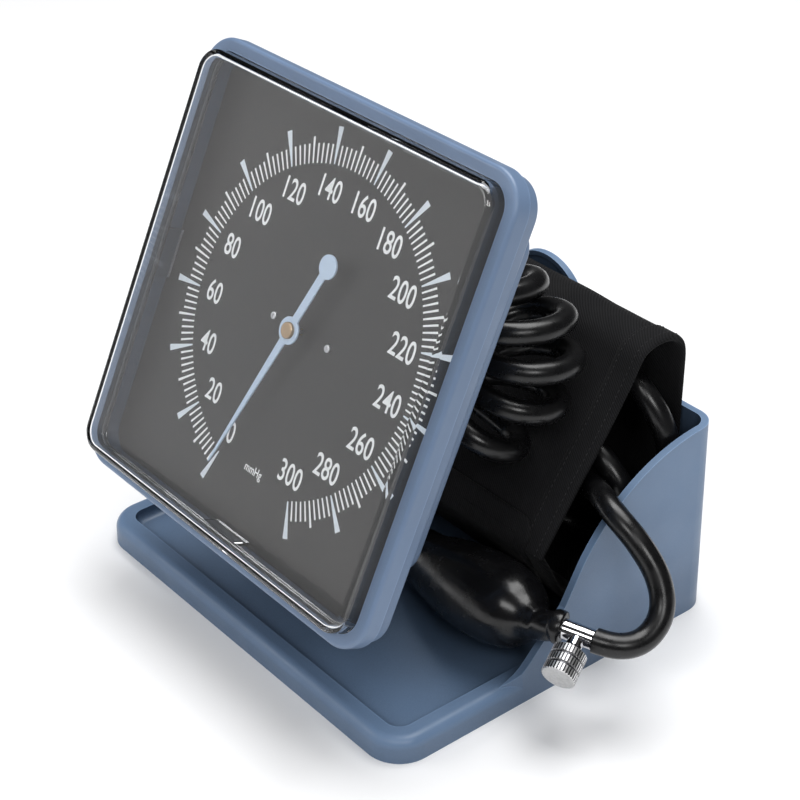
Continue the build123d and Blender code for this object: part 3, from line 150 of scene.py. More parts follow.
def shaded(tree, colour, distance, darkest, start, end, own=False):
    """Painted shade: colour that deepens where other surfaces stand close by."""
    node = tree.nodes.new("ShaderNodeAmbientOcclusion")
    node.samples = SHADE_SAMPLES
    node.only_local = own
    node.inputs["Distance"].default_value = distance
    product = tree.nodes.new("ShaderNodeMix")
    product.data_type = "RGBA"
    product.blend_type = "MULTIPLY"
    product.inputs["Factor"].default_value = 1.0
    link(tree, colour, product.inputs["A"])
    link(tree, ramp(tree, node.outputs["AO"], darkest, 1.0, start, end), product.inputs["B"])
    return product.outputs["Result"]


def moulded_plastic(name, colour, roughness=0.42, grain=0.08):
    """Satin moulding with a fine spark-eroded grain, slight cloudiness, a painted edge highlight and painted
    shade.
    """
    material, tree, shader = new_material(name)
    place = texture_place(tree)
    darker = tuple(c * 0.93 for c in colour)
    lighter = tuple(min(1.0, c * 1.05) for c in colour)
    cloudy = ramp(tree, noise(tree, place, 35, 4), darker, lighter, 0.3, 0.7)
    # Painted highlight: a lighter colour along the moulding's edges
    painted_highlight = tree.nodes.new("ShaderNodeMix")
    painted_highlight.data_type = "RGBA"
    painted_highlight.inputs["B"].default_value = (*(min(1.0, c * 1.75 + 0.02) for c in colour), 1)
    link(tree, edge_mask(tree), painted_highlight.inputs["Factor"])
    link(tree, cloudy, painted_highlight.inputs["A"])
    # Painted shade, darker where other surfaces stand close by
    with_painted_shade = shaded(tree, painted_highlight.outputs["Result"], SHADE_REACH, SHADE_DARKEST, 0.15, 0.8)
    link(tree, with_painted_shade, shader.inputs["Base Color"])
    fine = noise(tree, place, 2600, 2, 0.6)
    haze = ramp(tree, noise(tree, place, 90, 5), roughness - 0.05, roughness + 0.07)
    link(tree, haze, shader.inputs["Roughness"])
    bump(tree, shader, fine, grain, 0.0002)
    return material


def rubber(name, colour, roughness, grain=0.05, specular=0.45):
    """Smooth black rubber with faint dust and mould haze."""
    material, tree, shader = new_material(name)
    place = texture_place(tree)
    lighter = tuple(c * 1.9 + 0.001 for c in colour)
    dust = ramp(tree, noise(tree, place, 60, 5, 0.65), colour, lighter, 0.35, 0.85)
    link(tree, dust, shader.inputs["Base Color"])
    haze = ramp(tree, noise(tree, place, 140, 5, 0.6), roughness - 0.05, roughness + 0.08)
    link(tree, haze, shader.inputs["Roughness"])
    bump(tree, shader, noise(tree, place, 900, 3), grain, 0.0003)
    shader.inputs["Specular IOR Level"].default_value = specular
    return material


def metal(name, colour, roughness, brushed=(1, 1, 1), grain=0.04, knurl_shade_depth=0.0):
    """Bare or plated metal with fine tool marks, and painted shade between the ribs of a knurl."""
    material, tree, shader = new_material(name)
    place = texture_place(tree, brushed)
    darker = tuple(c * 0.86 for c in colour)
    tool_marks_and_shade = ramp(tree, noise(tree, place, 700, 4), darker, colour)
    if knurl_shade_depth:
        # Painted shade between the ribs of a knurl
        tool_marks_and_shade = shaded(tree, tool_marks_and_shade, knurl_shade_depth, 0.03, 0.45, 0.85, own=True)
    link(tree, tool_marks_and_shade, shader.inputs["Base Color"])
    polish = ramp(tree, noise(tree, place, 1500, 3), roughness * 0.8, roughness * 1.3)
    link(tree, polish, shader.inputs["Roughness"])
    bump(tree, shader, noise(tree, place, 2200, 2), grain, 0.0001)
    shader.inputs["Metallic"].default_value = 1.0
    return material


def clear_plastic(name):
    """Clear moulded acrylic with faint swirl marks."""
    material, tree, shader = new_material(name)
    place = texture_place(tree)
    link(tree, ramp(tree, noise(tree, place, 25, 3), 0.01, 0.03), shader.inputs["Roughness"])
    tint = ramp(tree, noise(tree, place, 12, 2), (0.95, 0.965, 0.975), (0.985, 0.99, 0.995))
    link(tree, tint, shader.inputs["Base Color"])
    shader.inputs["Transmission Weight"].default_value = 1.0
    shader.inputs["IOR"].default_value = 1.49
    return material


def printed(name, colour, roughness=0.5):
    """Screen-printed ink or painted sheet."""
    material, tree, shader = new_material(name)
    place = texture_place(tree)
    darker = tuple(c * 0.94 for c in colour)
    link(tree, ramp(tree, noise(tree, place, 400, 3), darker, colour), shader.inputs["Base Color"])
    haze = ramp(tree, noise(tree, place, 900, 2), roughness - 0.04, roughness + 0.04)
    link(tree, haze, shader.inputs["Roughness"])
    bump(tree, shader, noise(tree, place, 3500, 2), 0.05, 0.0001)
    return material


def twill(name, colour, pitch=0.00075):
    """Woven nylon: diagonal ribs over fine threads, with a soft sheen."""
    material, tree, shader = new_material(name)
    place = texture_place(tree)
    rib = tree.nodes.new("ShaderNodeTexWave")
    rib.wave_type = "BANDS"
    rib.bands_direction = "DIAGONAL"
    rib.inputs["Scale"].default_value = 0.32 / pitch
    rib.inputs["Distortion"].default_value = 0.8
    rib.inputs["Detail"].default_value = 2.0
    link(tree, place, rib.inputs["Vector"])
    thread = tree.nodes.new("ShaderNodeTexWave")
    thread.wave_type = "BANDS"
    thread.bands_direction = "X"
    thread.inputs["Scale"].default_value = 0.5 / pitch
    thread.inputs["Distortion"].default_value = 0.5
    link(tree, place, thread.inputs["Vector"])
    weave = tree.nodes.new("ShaderNodeMath")
    weave.operation = "MULTIPLY_ADD"
    weave.inputs[1].default_value = 0.45
    link(tree, thread.outputs["Fac"], weave.inputs[0])
    link(tree, rib.outputs["Fac"], weave.inputs[2])
    lighter = tuple(c * 2.2 + 0.001 for c in colour)
    link(tree, ramp(tree, weave.outputs["Value"], colour, lighter, 0.2, 1.3), shader.inputs["Base Color"])
    link(tree, ramp(tree, noise(tree, place, 70, 4), 0.72, 0.9), shader.inputs["Roughness"])
    soft = bump(tree, shader, noise(tree, place, 45, 4), 0.25, 0.0015)
    bump(tree, shader, weave.outputs["Value"], 0.4, 0.0003, below=soft)
    shader.inputs["Sheen Weight"].default_value = 0.04
    shader.inputs["Sheen Roughness"].default_value = 0.4
    shader.inputs["Specular IOR Level"].default_value = 0.12
    return material


# Finishes
blue_plastic = moulded_plastic("blue_plastic", (0.143, 0.224, 0.356))
blue_case = moulded_plastic("blue_case", (0.150, 0.219, 0.342), 0.38)
black_rubber = rubber("black_rubber", (0.0032, 0.0032, 0.0037), 0.22)
hose_rubber = rubber("hose_rubber", (0.0034, 0.0034, 0.0038), 0.27)
matt_rubber = rubber("matt_rubber", (0.012, 0.012, 0.012), 0.65, 0.15)
black_plastic = moulded_plastic("black_plastic", (0.012, 0.012, 0.013), 0.4)
steel = metal("steel", (0.55, 0.55, 0.57), 0.3)
chrome = metal("chrome", (0.80, 0.80, 0.82), 0.09, grain=0.01)
# Knurled chrome: painted shade between its ribs
knurl_chrome = metal("knurl_chrome", (0.80, 0.80, 0.80), 0.36, grain=0.12, knurl_shade_depth=0.0011)
# Dark copy of the knob's chrome: painted shade for its grooves, bore and rib sides
groove_shade = metal("groove_shade", (0.10, 0.10, 0.11), 0.35)
knob_face = metal("knob_face", (0.62, 0.62, 0.62), 0.42, grain=0.35)
brass = metal("brass", (0.62, 0.44, 0.20), 0.28, (1, 1, 8))
boss_brass = metal("boss_brass", (0.42, 0.30, 0.19), 0.42)
bronze = metal("bronze", (0.58, 0.36, 0.17), 0.35)
clear = clear_plastic("clear_acrylic")
dial_black = printed("dial_black", (0.0135, 0.0120, 0.0122), 0.6)
scale_white = printed("scale_white", (0.90, 0.91, 0.91))
wedge_blue = printed("wedge_blue", (0.74, 0.80, 0.86))
pointer_paint = printed("pointer_paint", (0.52, 0.64, 0.80), 0.35)
cloth = twill("black_twill", (0.0048, 0.0048, 0.0053))
thread_black = rubber("sewing_thread", (0.010, 0.010, 0.011), 0.6, 0.3, 0.3)

# Finish of every CAD piece
CAD_FINISH = {
    "stand_tray": blue_plastic, "rubber_feet": matt_rubber, "support_arm": blue_plastic, "arm_screws": steel,
    "pivot_bolt": steel, "pivot_nut": steel, "friction_washers": matt_rubber, "rear_case": blue_case,
    "front_bezel": blue_case, "lens": clear, "lens_gasket": matt_rubber, "dial_plate": dial_black,
    "dial_screws": steel, "movement_front_plate": brass, "movement_rear_plate": brass,
    "movement_pillars": brass, "movement_base": brass, "base_screws": steel, "capsule": bronze,
    "push_pin": steel, "rocker_lever": brass, "sector_gear": brass, "sector_arbor": steel, "pinion": steel,
    "hairspring": steel, "hairspring_stud": brass, "pointer": pointer_paint, "pointer_boss": boss_brass,
    "gauge_nipple": brass, "gauge_ferrule": black_plastic, "gauge_hose_upper": hose_rubber,
    "gauge_hose_coil": hose_rubber, "gauge_hose_lower": hose_rubber, "cuff": cloth, "bladder": matt_rubber,
    "bulb_hose": hose_rubber, "bulb": black_rubber, "inlet_valve": chrome, "inlet_ball": steel,
    "release_valve_body": chrome, "release_needle": chrome, "release_knob": knurl_chrome,
}
for node, finish in CAD_FINISH.items():
    piece = nodes[node]
    if not piece.material_slots:
        piece.data.materials.append(finish)
    for material_slot in piece.material_slots:
        material_slot.material = finish


# Helpers for meshes and curves
def add_mesh(name, vertices, faces, material, smooth=True):
    mesh = bpy.data.meshes.new(name)
    mesh.from_pydata([tuple(v) for v in vertices], [], faces)
    mesh.update()
    if smooth:
        mesh.polygons.foreach_set("use_smooth", [True] * len(mesh.polygons))
    mesh.materials.append(material)
    piece = bpy.data.objects.new(name, mesh)
    bpy.context.scene.collection.objects.link(piece)
    return piece


def ring_skin(rings, closed_ends=True):
    """Vertices and faces of a skin over rings that each have the same number of points."""
    count = len(rings[0])
    vertices = [point for ring in rings for point in ring]
    faces = []
    for row in range(len(rings) - 1):
        for index in range(count):
            after = (index + 1) % count
            a = row * count
            faces.append((a + index, a + after, a + count + after, a + count + index))
    if closed_ends:
        faces.append(tuple(reversed(range(count))))
        faces.append(tuple(range((len(rings) - 1) * count, len(rings) * count)))
    return vertices, faces


def apply_modifiers(piece):
    """Leaves the piece with the mesh that its modifiers make."""
    shaped = piece.evaluated_get(bpy.context.evaluated_depsgraph_get())
    mesh = bpy.data.meshes.new_from_object(shaped)
    piece.modifiers.clear()
    piece.data = mesh


def frame_along(direction, hint=Vector((0, 0, 1))):
    """Two unit vectors square to a direction."""
    side = direction.cross(hint)
    if side.length < 0.01:
        side = direction.cross(Vector((0, 1, 0)))
    side.normalize()
    return side, side.cross(direction).normalized()


def hose(name, route, material):
    """Round hose on a NURBS route, given in millimetres."""
    curve = bpy.data.curves.new(name, "CURVE")
    curve.dimensions = "3D"
    spline = curve.splines.new("NURBS")
    spline.points.add(len(route) - 1)
    for place, point in zip(spline.points, route):
        place.co = (*mm(*point), 1.0)
    spline.order_u = 3
    spline.use_endpoint_u = True
    spline.resolution_u = 8
    curve.bevel_depth = HOSE_RADIUS * MM
    curve.bevel_resolution = 6
    curve.use_fill_caps = True
    curve.materials.append(material)
    piece = bpy.data.objects.new(name, curve)
    bpy.context.scene.collection.objects.link(piece)
    return piece


# Hoses: the same routes as in the model's source, in millimetres
HOSE_RADIUS = 4.6
HOSE_START = (-42.3, -15.672, 97.713)
UPPER_LEAD = [
    (-54.3, -15.672, 97.713), (-66.8, -13.8, 101.6), (-76.7, -10.0, 109.9), (-81.9, -5.0, 121.4),
    (-81.3, 0.4, 134.1), (-74.8, 5.2, 145.3), (-63.7, 8.5, 152.9), (-50.1, 9.4, 155.3), (-36.5, 7.6, 152.3),
    (-19.1, 1.1, 139.5), (-6.8, -2.0, 133.3), (4.8, -2.96, 131.8),
]
LOWER_LEAD = [
    (14.6, 16.4, 83.6), (3.6, 15.4, 85.5), (-10.6, 14.1, 86.2), (-24.7, 11.9, 84.3), (-39.0, 8.1, 78.1),
    (-51.6, 2.8, 65.4), (-56.7, -2.0, 48.6), (-54.3, -2.8, 33.4), (-47.3, -1.4, 22.1), (-37.0, 1.5, 14.7),
    (-20.0, 7.0, 9.3), (-2.9, 11.7, 8.1), (16.0, 14.8, 8.3), (32.6, 14.5, 8.1), (49.4, 11.3, 8.1),
    (65.8, 10.5, 8.1), (79.7, 17.8, 12.5), (85.0, 30.1, 21.6), (83.4, 39.8, 34.7), (82.9, 41.6, 51.3),
    (77.7, 40.6, 62.7), (68.2, 39.1, 70.8), (56.1, 38.319, 74.0), (48.1, 38.319, 74.0),
]
COIL_RADIUS = 17.7
COIL_START = 219.0
COIL_END = 1845.0
COIL_HEADING = radians(50.6)
COIL_AXIS = [(22.2, 15.2, 133.3), (52.6, 22.8, 124.4), (53.2, 23.6, 98.6), (37.0, 2.3, 82.5)]
COIL_ROLL = [6.1, 16.1, -26.4]
COIL_PITCH = [-9.8, 7.1]
COIL_STEP = 30.0


def bezier(values, share):
    """Point of a Bezier curve with the given control values."""
    while len(values) > 1:
        values = [a * (1 - share) + b * share for a, b in zip(values, values[1:])]
    return values[0]


def coil_point(share, swell=1.0):
    centre = bezier([Vector(point) for point in COIL_AXIS], share)
    angle = radians(COIL_START + (COIL_END - COIL_START) * share)
    roll = radians(bezier(COIL_ROLL, share))
    pitch = radians(bezier(COIL_PITCH, share))
    across = Vector((cos(COIL_HEADING), sin(COIL_HEADING), 0))
    away = Vector((-sin(COIL_HEADING), cos(COIL_HEADING), 0))
    up = Vector((0, 0, 1))
    along_x = across * cos(roll) + up * sin(roll)
    normal = up * cos(roll) - across * sin(roll)
    along_y = away * cos(pitch) + normal * sin(pitch)
    radius = COIL_RADIUS * swell
    return centre + along_x * (radius * cos(angle)) + along_y * (radius * sin(angle))


def coil_points():
    """Control points of the coil's turns, a little outside the hose's line, which the curve cuts inside."""
    steps = round((COIL_END - COIL_START) / COIL_STEP)
    swell = 2 / (1 + cos(radians(COIL_STEP / 2)))
    return [coil_point((index + 0.5) / steps, swell) for index in range(steps)]


CUFF_HOSE_START = (48.1, 55.304, 98.0)
BULB_HOSE = [
    CUFF_HOSE_START, (60.1, 55.304, 98.0),
    (70.9, 56.1, 93.4), (79.2, 57.4, 85.1), (83.6, 59.0, 74.3), (83.7, 61.1, 58.9), (83.4, 61.9, 45.3),
    (78.7, 62.3, 29.0), (68.1, 62.8, 18.0), (53.6, 62.7, 13.2), (39.0, 58.1, 14.5), (28.3, 49.7, 21.6),
    (24.9, 40.3, 33.3), (29.8, 33.2, 46.0), (41.2, 30.6, 56.0), (55.7, 32.7, 60.7), (74.1, 31.9, 61.9),
    (86.6, 22.3, 68.6), (97.2, 18.1, 68.6), (108.8, 19.3, 62.0), (118.6, 20.4, 52.0), (124.9, 16.9, 42.0),
    (126.4, 7.0, 35.6),
]
VALVE_CENTRE = Vector((109.8, -9.0, 36.7))
VALVE_ALONG = Vector((0.905, 0.414, -0.10)).normalized()
VALVE_LENGTH = 11.6
VALVE_SEAT_GAP = 0.1
VALVE_LEAD = 8

gauge_route = [HOSE_START] + UPPER_LEAD + coil_points() + LOWER_LEAD
gauge_hose = hose("gauge_hose", gauge_route, hose_rubber)
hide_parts("gauge_hose_upper", "gauge_hose_coil", "gauge_hose_lower")
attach(gauge_hose, "stand")

valve_end = VALVE_CENTRE + VALVE_ALONG * (VALVE_LENGTH / 2 + VALVE_SEAT_GAP)
bulb_tube = hose("bulb_tube", BULB_HOSE + [valve_end + VALVE_ALONG * VALVE_LEAD, valve_end], hose_rubber)
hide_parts("bulb_hose")
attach(bulb_tube, "stand")

# Bulb: a round form with a mould seam, a bent neck and a rolled collar
BULB_CENTRE = mm(62.9, -9.3, 26.3)
BULB_ALONG = Vector((0.968, -0.119, 0.226)).normalized()
BULB_PROFILE = [
    (-45.62, 4.2), (-45.66, 7.0), (-45.5, 8.6), (-44.9, 9.5), (-43.4, 10.2), (-40.0, 11.1), (-34.0, 12.5),
    (-26.0, 14.1), (-18.0, 15.4), (-9.0, 16.3), (0.0, 16.5), (7.0, 16.2), (12.0, 15.6), (16.0, 14.7),
    (19.5, 13.4), (22.5, 11.5), (25.0, 9.2), (27.0, 7.6), (29.0, 6.7), (31.4, 6.1),
]
BULB_SIDES = 48
SEAM_RISE = 0.16
SEAM_SHARPNESS = 60
SEAM_LEAST_RADIUS = 10
NECK_RADIUS = 5.4
NECK_STEPS = 10
NECK_FROM = 0.12
NECK_SPAN = 0.8
NECK_BEND = 0.4
COLLAR_RADIUS = 6.2
# The collar and its rolled mouth, as (share of the neck's path, radius)
COLLAR_PROFILE = [
    (0.735, NECK_RADIUS), (0.75, 5.8), (0.775, COLLAR_RADIUS), (0.84, COLLAR_RADIUS + 0.05),
    (0.93, COLLAR_RADIUS), (0.975, 6.0), (0.998, 5.4), (1.0, 4.2), (0.99, 3.2),
]


def bulb_rings():
    rings = []
    angles = [2 * pi * index / BULB_SIDES for index in range(BULB_SIDES)]
    side, up = frame_along(BULB_ALONG)
    for along, radius in BULB_PROFILE:
        ring = []
        for angle in angles:
            seam = SEAM_RISE * max(0.0, cos(2 * angle)) ** SEAM_SHARPNESS * (radius > SEAM_LEAST_RADIUS)
            direction = side * cos(angle) + up * sin(angle)
            ring.append(BULB_CENTRE + (BULB_ALONG * along + direction * (radius + seam)) * MM)
        rings.append(ring)
    start = BULB_CENTRE + BULB_ALONG * BULB_PROFILE[-1][0] * MM
    end = (VALVE_CENTRE - VALVE_ALONG * (VALVE_LENGTH / 2)) * MM
    reach = (end - start).length * NECK_BEND
    control = [start, start + BULB_ALONG * reach, end - VALVE_ALONG * reach, end]
    spans = [(NECK_FROM + NECK_SPAN * step / NECK_STEPS, NECK_RADIUS) for step in range(NECK_STEPS - 2)]
    for share, radius in spans + COLLAR_PROFILE:
        place = bezier(control, share)
        direction = (bezier(control, min(1.0, share + 0.01)) - bezier(control, share - 0.01)).normalized()
        side_now = (side - direction * side.dot(direction)).normalized()
        up_now = side_now.cross(direction).normalized()
        rings.append([place + (side_now * cos(angle) + up_now * sin(angle)) * radius * MM
                      for angle in angles])
    return rings


vertices, faces = ring_skin(bulb_rings())
squeeze_bulb = add_mesh("squeeze_bulb", vertices, faces, black_rubber)
smoothing = squeeze_bulb.modifiers.new("smooth", "SUBSURF")
smoothing.levels = 1
smoothing.render_levels = 1
apply_modifiers(squeeze_bulb)
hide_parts("bulb")
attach(squeeze_bulb, "stand")

# Release knob: ribbed bands with painted shade in the grooves, the bore and on the rib sides, and a flat
# turned end
KNOB_AXIS = Vector((0.35643014, -0.86466105, -0.354004)).normalized()
KNOB_START = 7.8
KNOB_LENGTH = 11.0
KNOB_RADIUS = 6.3
KNOB_RIBS = 34
KNOB_RIB_DEPTH = 0.4
KNOB_BORE_RADIUS = 1.5
KNOB_BORE_DEPTH = 4.1
KNOB_BANDS = 3
KNOB_BAND_WIDTH = 3.2
KNOB_GROOVE_WIDTH = 0.7
KNOB_GROOVE_DEPTH = 0.6
KNOB_CHAMFER = 0.5
KNOB_BAND_CHAMFER = 0.25
KNOB_CENTRE_RADIUS = 0.3
# Corners of one rib, as (share of its pitch, whether it is high)
RIB_CORNERS = ((0.0, True), (0.5, True), (0.6, False), (0.9, False))


def knob_ring(along, radius, ribbed):
    side, up = frame_along(KNOB_AXIS)
    ring = []
    for rib in range(KNOB_RIBS):
        for share, high in RIB_CORNERS:
            angle = 2 * pi * (rib + share) / KNOB_RIBS
            reach = radius - (KNOB_RIB_DEPTH if ribbed and not high else 0)
            ring.append(mm(*(VALVE_CENTRE + KNOB_AXIS * (KNOB_START + along)
                             + (side * cos(angle) + up * sin(angle)) * reach)))
    return ring


def knurled_knob():
    core = KNOB_RADIUS - KNOB_GROOVE_DEPTH
    profile = [(KNOB_BORE_DEPTH, KNOB_CENTRE_RADIUS, False), (KNOB_BORE_DEPTH, KNOB_BORE_RADIUS, False),
               (0.0, KNOB_BORE_RADIUS, False), (0.0, KNOB_RADIUS - KNOB_CHAMFER, False)]
    for number in range(KNOB_BANDS):
        start = number * (KNOB_BAND_WIDTH + KNOB_GROOVE_WIDTH)
        end = start + KNOB_BAND_WIDTH
        profile += [(start + KNOB_BAND_CHAMFER, KNOB_RADIUS, True),
                    (end - KNOB_BAND_CHAMFER, KNOB_RADIUS, True)]
        if number < KNOB_BANDS - 1:
            profile += [(end, core, False), (end + KNOB_GROOVE_WIDTH, core, False)]
    profile += [(KNOB_LENGTH, KNOB_RADIUS - KNOB_CHAMFER, False), (KNOB_LENGTH, KNOB_CENTRE_RADIUS, False)]
    knob_vertices, knob_faces = ring_skin([knob_ring(*row) for row in profile])
    piece = add_mesh("knurled_knob", knob_vertices, knob_faces, knurl_chrome, smooth=False)
    for finish in (groove_shade, knob_face):
        piece.data.materials.append(finish)
    groove_shade_slot, face_slot = 1, 2
    count = len(RIB_CORNERS) * KNOB_RIBS
    for number, polygon in enumerate(piece.data.polygons):
        row, place = divmod(number, count)
        if row >= len(profile) - 2:
            polygon.material_index = face_slot
            continue
        ribbed_ends = profile[row][2] + profile[row + 1][2]
        # Painted shade on the rib sides, the grooves and the bore
        if ribbed_ends == 0 or (ribbed_ends == 2 and place % len(RIB_CORNERS)):
            polygon.material_index = groove_shade_slot
    return piece


release_knob = knurled_knob()
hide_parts("release_knob")
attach(release_knob, "knob")

# Cuff: a folded band of twill, with the mouth of its fold open at both ends
CUFF_HALF = 76.4
CUFF_THICK = 5.5
CUFF_EDGE_THICK = 2.8
CUFF_SECTION = [
    (34.0, 3.3), (44.0, 3.3), (55.0, 3.3), (65.5, 3.3), (71.2, 5.6), (73.5, 11.3), (73.4, 26.0), (73.4, 44.0),
    (73.3, 62.0), (73.3, 80.0), (73.3, 96.0), (72.9, 106.6), (70.2, 111.6), (65.6, 114.2), (60.0, 115.0),
    (53.3, 114.0), (48.4, 110.6), (43.6, 102.6), (37.8, 93.5), (31.8, 84.7), (26.0, 76.5), (20.2, 68.4),
    (14.5, 60.2), (8.7, 52.1), (3.6, 44.8), (3.5, 42.8), (6.6, 37.2), (10.0, 30.6), (13.3, 24.3),
    (19.0, 18.0), (25.6, 11.8), (28.6, 7.0), (31.2, 4.2),
]
CUFF_SPAN_STEPS = 4
CUFF_COLUMNS = 70
CLOTH_INSET = 0.25
# Slack folds of the cloth, as (height, length across X, length along Z, start)
SLACK_FOLDS = ((0.55, 15.0, 16.0, 0.0), (0.4, 6.5, -27.0, 1.3), (0.35, 31.0, -9.0, 0.6))
SLACK_LEAST = -0.2
SLACK_FROM_HEIGHT = 20.0
SLACK_GAIN_HEIGHT = 30.0
SLACK_TO_HEIGHT = 118.0
SLACK_LOSS_HEIGHT = 12.0
SLACK_SHARE = 0.9
COIL_SIDE_SHARE = 0.4
COIL_SIDE_DEPTH = 46.0
COIL_SIDE_HALF = 64.0
HEM_WIDTH = 11.0
HEM_RISE = 0.45
HEM_EDGE = 0.5
HEM_GROOVE_DEPTH = 0.25
HEM_GROOVE_FROM_HEM = 0.9
HEM_GROOVE_HALF = 0.8
HEM_INSETS = (12.2, 11.8, 11.4, 11.0, 10.6, 9.0, 6.5, 3.5)
# Rounded end of the band, from its outer face to its inner one, as (inset, depth)
SELVEDGE = (
    (2.0, 0.0), (0.9, 0.25), (0.25, 0.8), (0.0, CUFF_EDGE_THICK / 2), (0.25, CUFF_EDGE_THICK - 0.8),
    (0.9, CUFF_EDGE_THICK - 0.25), (2.0, CUFF_EDGE_THICK), (7.0, CUFF_EDGE_THICK + 0.5),
    (11.0, CUFF_THICK - 0.8),
)
HEM_MARGIN = 2.0


def smooth_closed(points, per_span):
    """Closed Catmull-Rom curve through points."""
    out = []
    count = len(points)
    for index in range(count):
        p0, p1, p2, p3 = (Vector(points[(index + k) % count]) for k in (-1, 0, 1, 2))
        for step in range(per_span):
            t = step / per_span
            out.append(0.5 * ((2 * p1) + (p2 - p0) * t + (2 * p0 - 5 * p1 + 4 * p2 - p3) * t ** 2
                              + (3 * p1 - p0 - 3 * p2 + p3) * t ** 3))
    return out


def outward_normals(outline):
    count = len(outline)
    normals = []
    for index in range(count):
        tangent = (outline[(index + 1) % count] - outline[index - 1]).normalized()
        normals.append(Vector((tangent.y, -tangent.x)))
    return normals


cuff_outline = smooth_closed(CUFF_SECTION, CUFF_SPAN_STEPS)
cuff_normals = outward_normals(cuff_outline)


def clamped(value):
    return min(1.0, max(0.0, value))


def cuff_swell(x, place):
    """How far the cloth's surface stands off its section: slack folds, and the raised hem along both ends."""
    slack = sum(height * sin(x / across + place.y / up + start) for height, across, up, start in SLACK_FOLDS)
    hold = clamped((place.y - SLACK_FROM_HEIGHT) / SLACK_GAIN_HEIGHT)
    hold *= clamped((SLACK_TO_HEIGHT - place.y) / SLACK_LOSS_HEIGHT)
    from_end = CUFF_HALF - abs(x)
    hem = HEM_RISE * clamped(HEM_WIDTH + HEM_EDGE - from_end)
    off_groove = abs(from_end - HEM_WIDTH - HEM_GROOVE_FROM_HEM)
    groove = HEM_GROOVE_DEPTH * max(0.0, 1.0 - off_groove / HEM_GROOVE_HALF)
    beside_coil = place.x < COIL_SIDE_DEPTH and abs(x) < COIL_SIDE_HALF
    share = COIL_SIDE_SHARE if beside_coil else SLACK_SHARE
    return max(SLACK_LEAST, slack) * hold * share - CLOTH_INSET + hem - groove


def cuff_point(x, index, depth):
    place = cuff_outline[index]
    normal = cuff_normals[index]
    off = cuff_swell(x, place) - depth
    return mm(x, place.x + normal.x * off, place.y + normal.y * off)


def cuff_mesh():
    """Outer and inner skins of the folded band, joined by its rounded ends."""
    edge = HEM_WIDTH + HEM_MARGIN
    inside = [-CUFF_HALF + edge + (2 * CUFF_HALF - 2 * edge) * step / CUFF_COLUMNS
              for step in range(CUFF_COLUMNS + 1)]
    right = [(CUFF_HALF - inset, 0.0) for inset in HEM_INSETS]
    right += [(CUFF_HALF - inset, depth) for inset, depth in SELVEDGE]
    columns = [(-x, depth) for x, depth in reversed(right)]
    columns += [(x, 0.0) for x in inside] + right
    columns += [(x, CUFF_THICK) for x in reversed(inside)]
    rings = [[cuff_point(x, index, depth) for index in range(len(cuff_outline))] for x, depth in columns]
    rings.append(rings[0])
    return ring_skin(rings, closed_ends=False)


vertices, faces = cuff_mesh()
arm_cuff = add_mesh("arm_cuff", vertices, faces, cloth)
shape = bmesh.new()
shape.from_mesh(arm_cuff.data)
bmesh.ops.remove_doubles(shape, verts=shape.verts, dist=1e-6)
bmesh.ops.recalc_face_normals(shape, faces=shape.faces)
shape.to_mesh(arm_cuff.data)
shape.free()
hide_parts("cuff")
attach(arm_cuff, "stand")


# Inner flap with the bladder's pocket, and the flat rubber bladder with its two necks
FLAP_TILT = Vector((46.0, 65.0)).normalized()
FLAP_ACROSS = Vector((FLAP_TILT.y, -FLAP_TILT.x))
FRONT_FOOT = Vector((3.0, 44.0))
BAG_COLUMNS = 28
BAG_ROWS = 16
BAG_RIM = 0.25
BAG_RIM_POWER = 0.8
BAG_SIDE_RISE = 6
BAG_END_RISE = 5


def flap_point(x, height, depth):
    """Place behind the cuff's front face, by its height and its depth along Y."""
    along = (height - FRONT_FOOT.y) / FLAP_TILT.y
    place = FRONT_FOOT + FLAP_TILT * along + FLAP_ACROSS * depth
    return mm(x, place.x, place.y)


def pillow(name, half_width, low, high, near, far, material, crown):
    """Flat cloth or rubber bag with rounded edges and a soft crown."""
    columns, rows = BAG_COLUMNS, BAG_ROWS
    sides = []
    for depth, sign in ((near, -1), (far, 1)):
        middle = (near + far) / 2
        grid = []
        for row in range(rows + 1):
            v = row / rows
            line = []
            for column in range(columns + 1):
                u = column / columns
                rim = min(1.0, BAG_SIDE_RISE * min(u, 1 - u) ** BAG_RIM_POWER)
                rim *= min(1.0, BAG_END_RISE * min(v, 1 - v) ** BAG_RIM_POWER)
                x = half_width * (2 * u - 1)
                ripple = crown * sin(u * 11.0 + v * 4.0) * sin(v * 9.0 + 0.7) * rim
                thickness = (depth - middle) * (BAG_RIM + (1 - BAG_RIM) * rim)
                line.append(flap_point(x, low + (high - low) * v, middle + thickness + ripple * 0.5 * sign))
            grid.append(line)
        sides.append(grid)
    width = columns + 1
    points = [point for grid in sides for line in grid for point in line]
    back_start = (rows + 1) * width
    quads = []
    for row in range(rows):
        for column in range(columns):
            a = row * width + column
            quads.append((a, a + 1, a + width + 1, a + width))
            b = back_start + a
            quads.append((b, b + width, b + width + 1, b + 1))
    rim_path = list(range(width)) + [row * width + columns for row in range(1, rows + 1)]
    rim_path += [rows * width + column for column in reversed(range(columns))]
    rim_path += [row * width for row in reversed(range(1, rows))]
    for index, a in enumerate(rim_path):
        b = rim_path[(index + 1) % len(rim_path)]
        quads.append((b, a, a + back_start, b + back_start))
    return add_mesh(name, points, quads, material)


inner_flap = pillow("inner_flap", 44.0, 62.2, 105.6, 7.2, 15.0, cloth, 0.5)
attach(inner_flap, "stand")

BAG_NECKS = ((55.30, 98.0), (38.32, 74.0))
# Profile of a neck, as (x, radius)
BAG_NECK_PROFILE = ((30.5, 2.0), (33.0, 3.6), (36.0, 4.4), (39.0, 4.6), (47.0, 4.6), (47.6, 4.4), (47.9, 3.6))
BAG_NECK_SIDES = 24

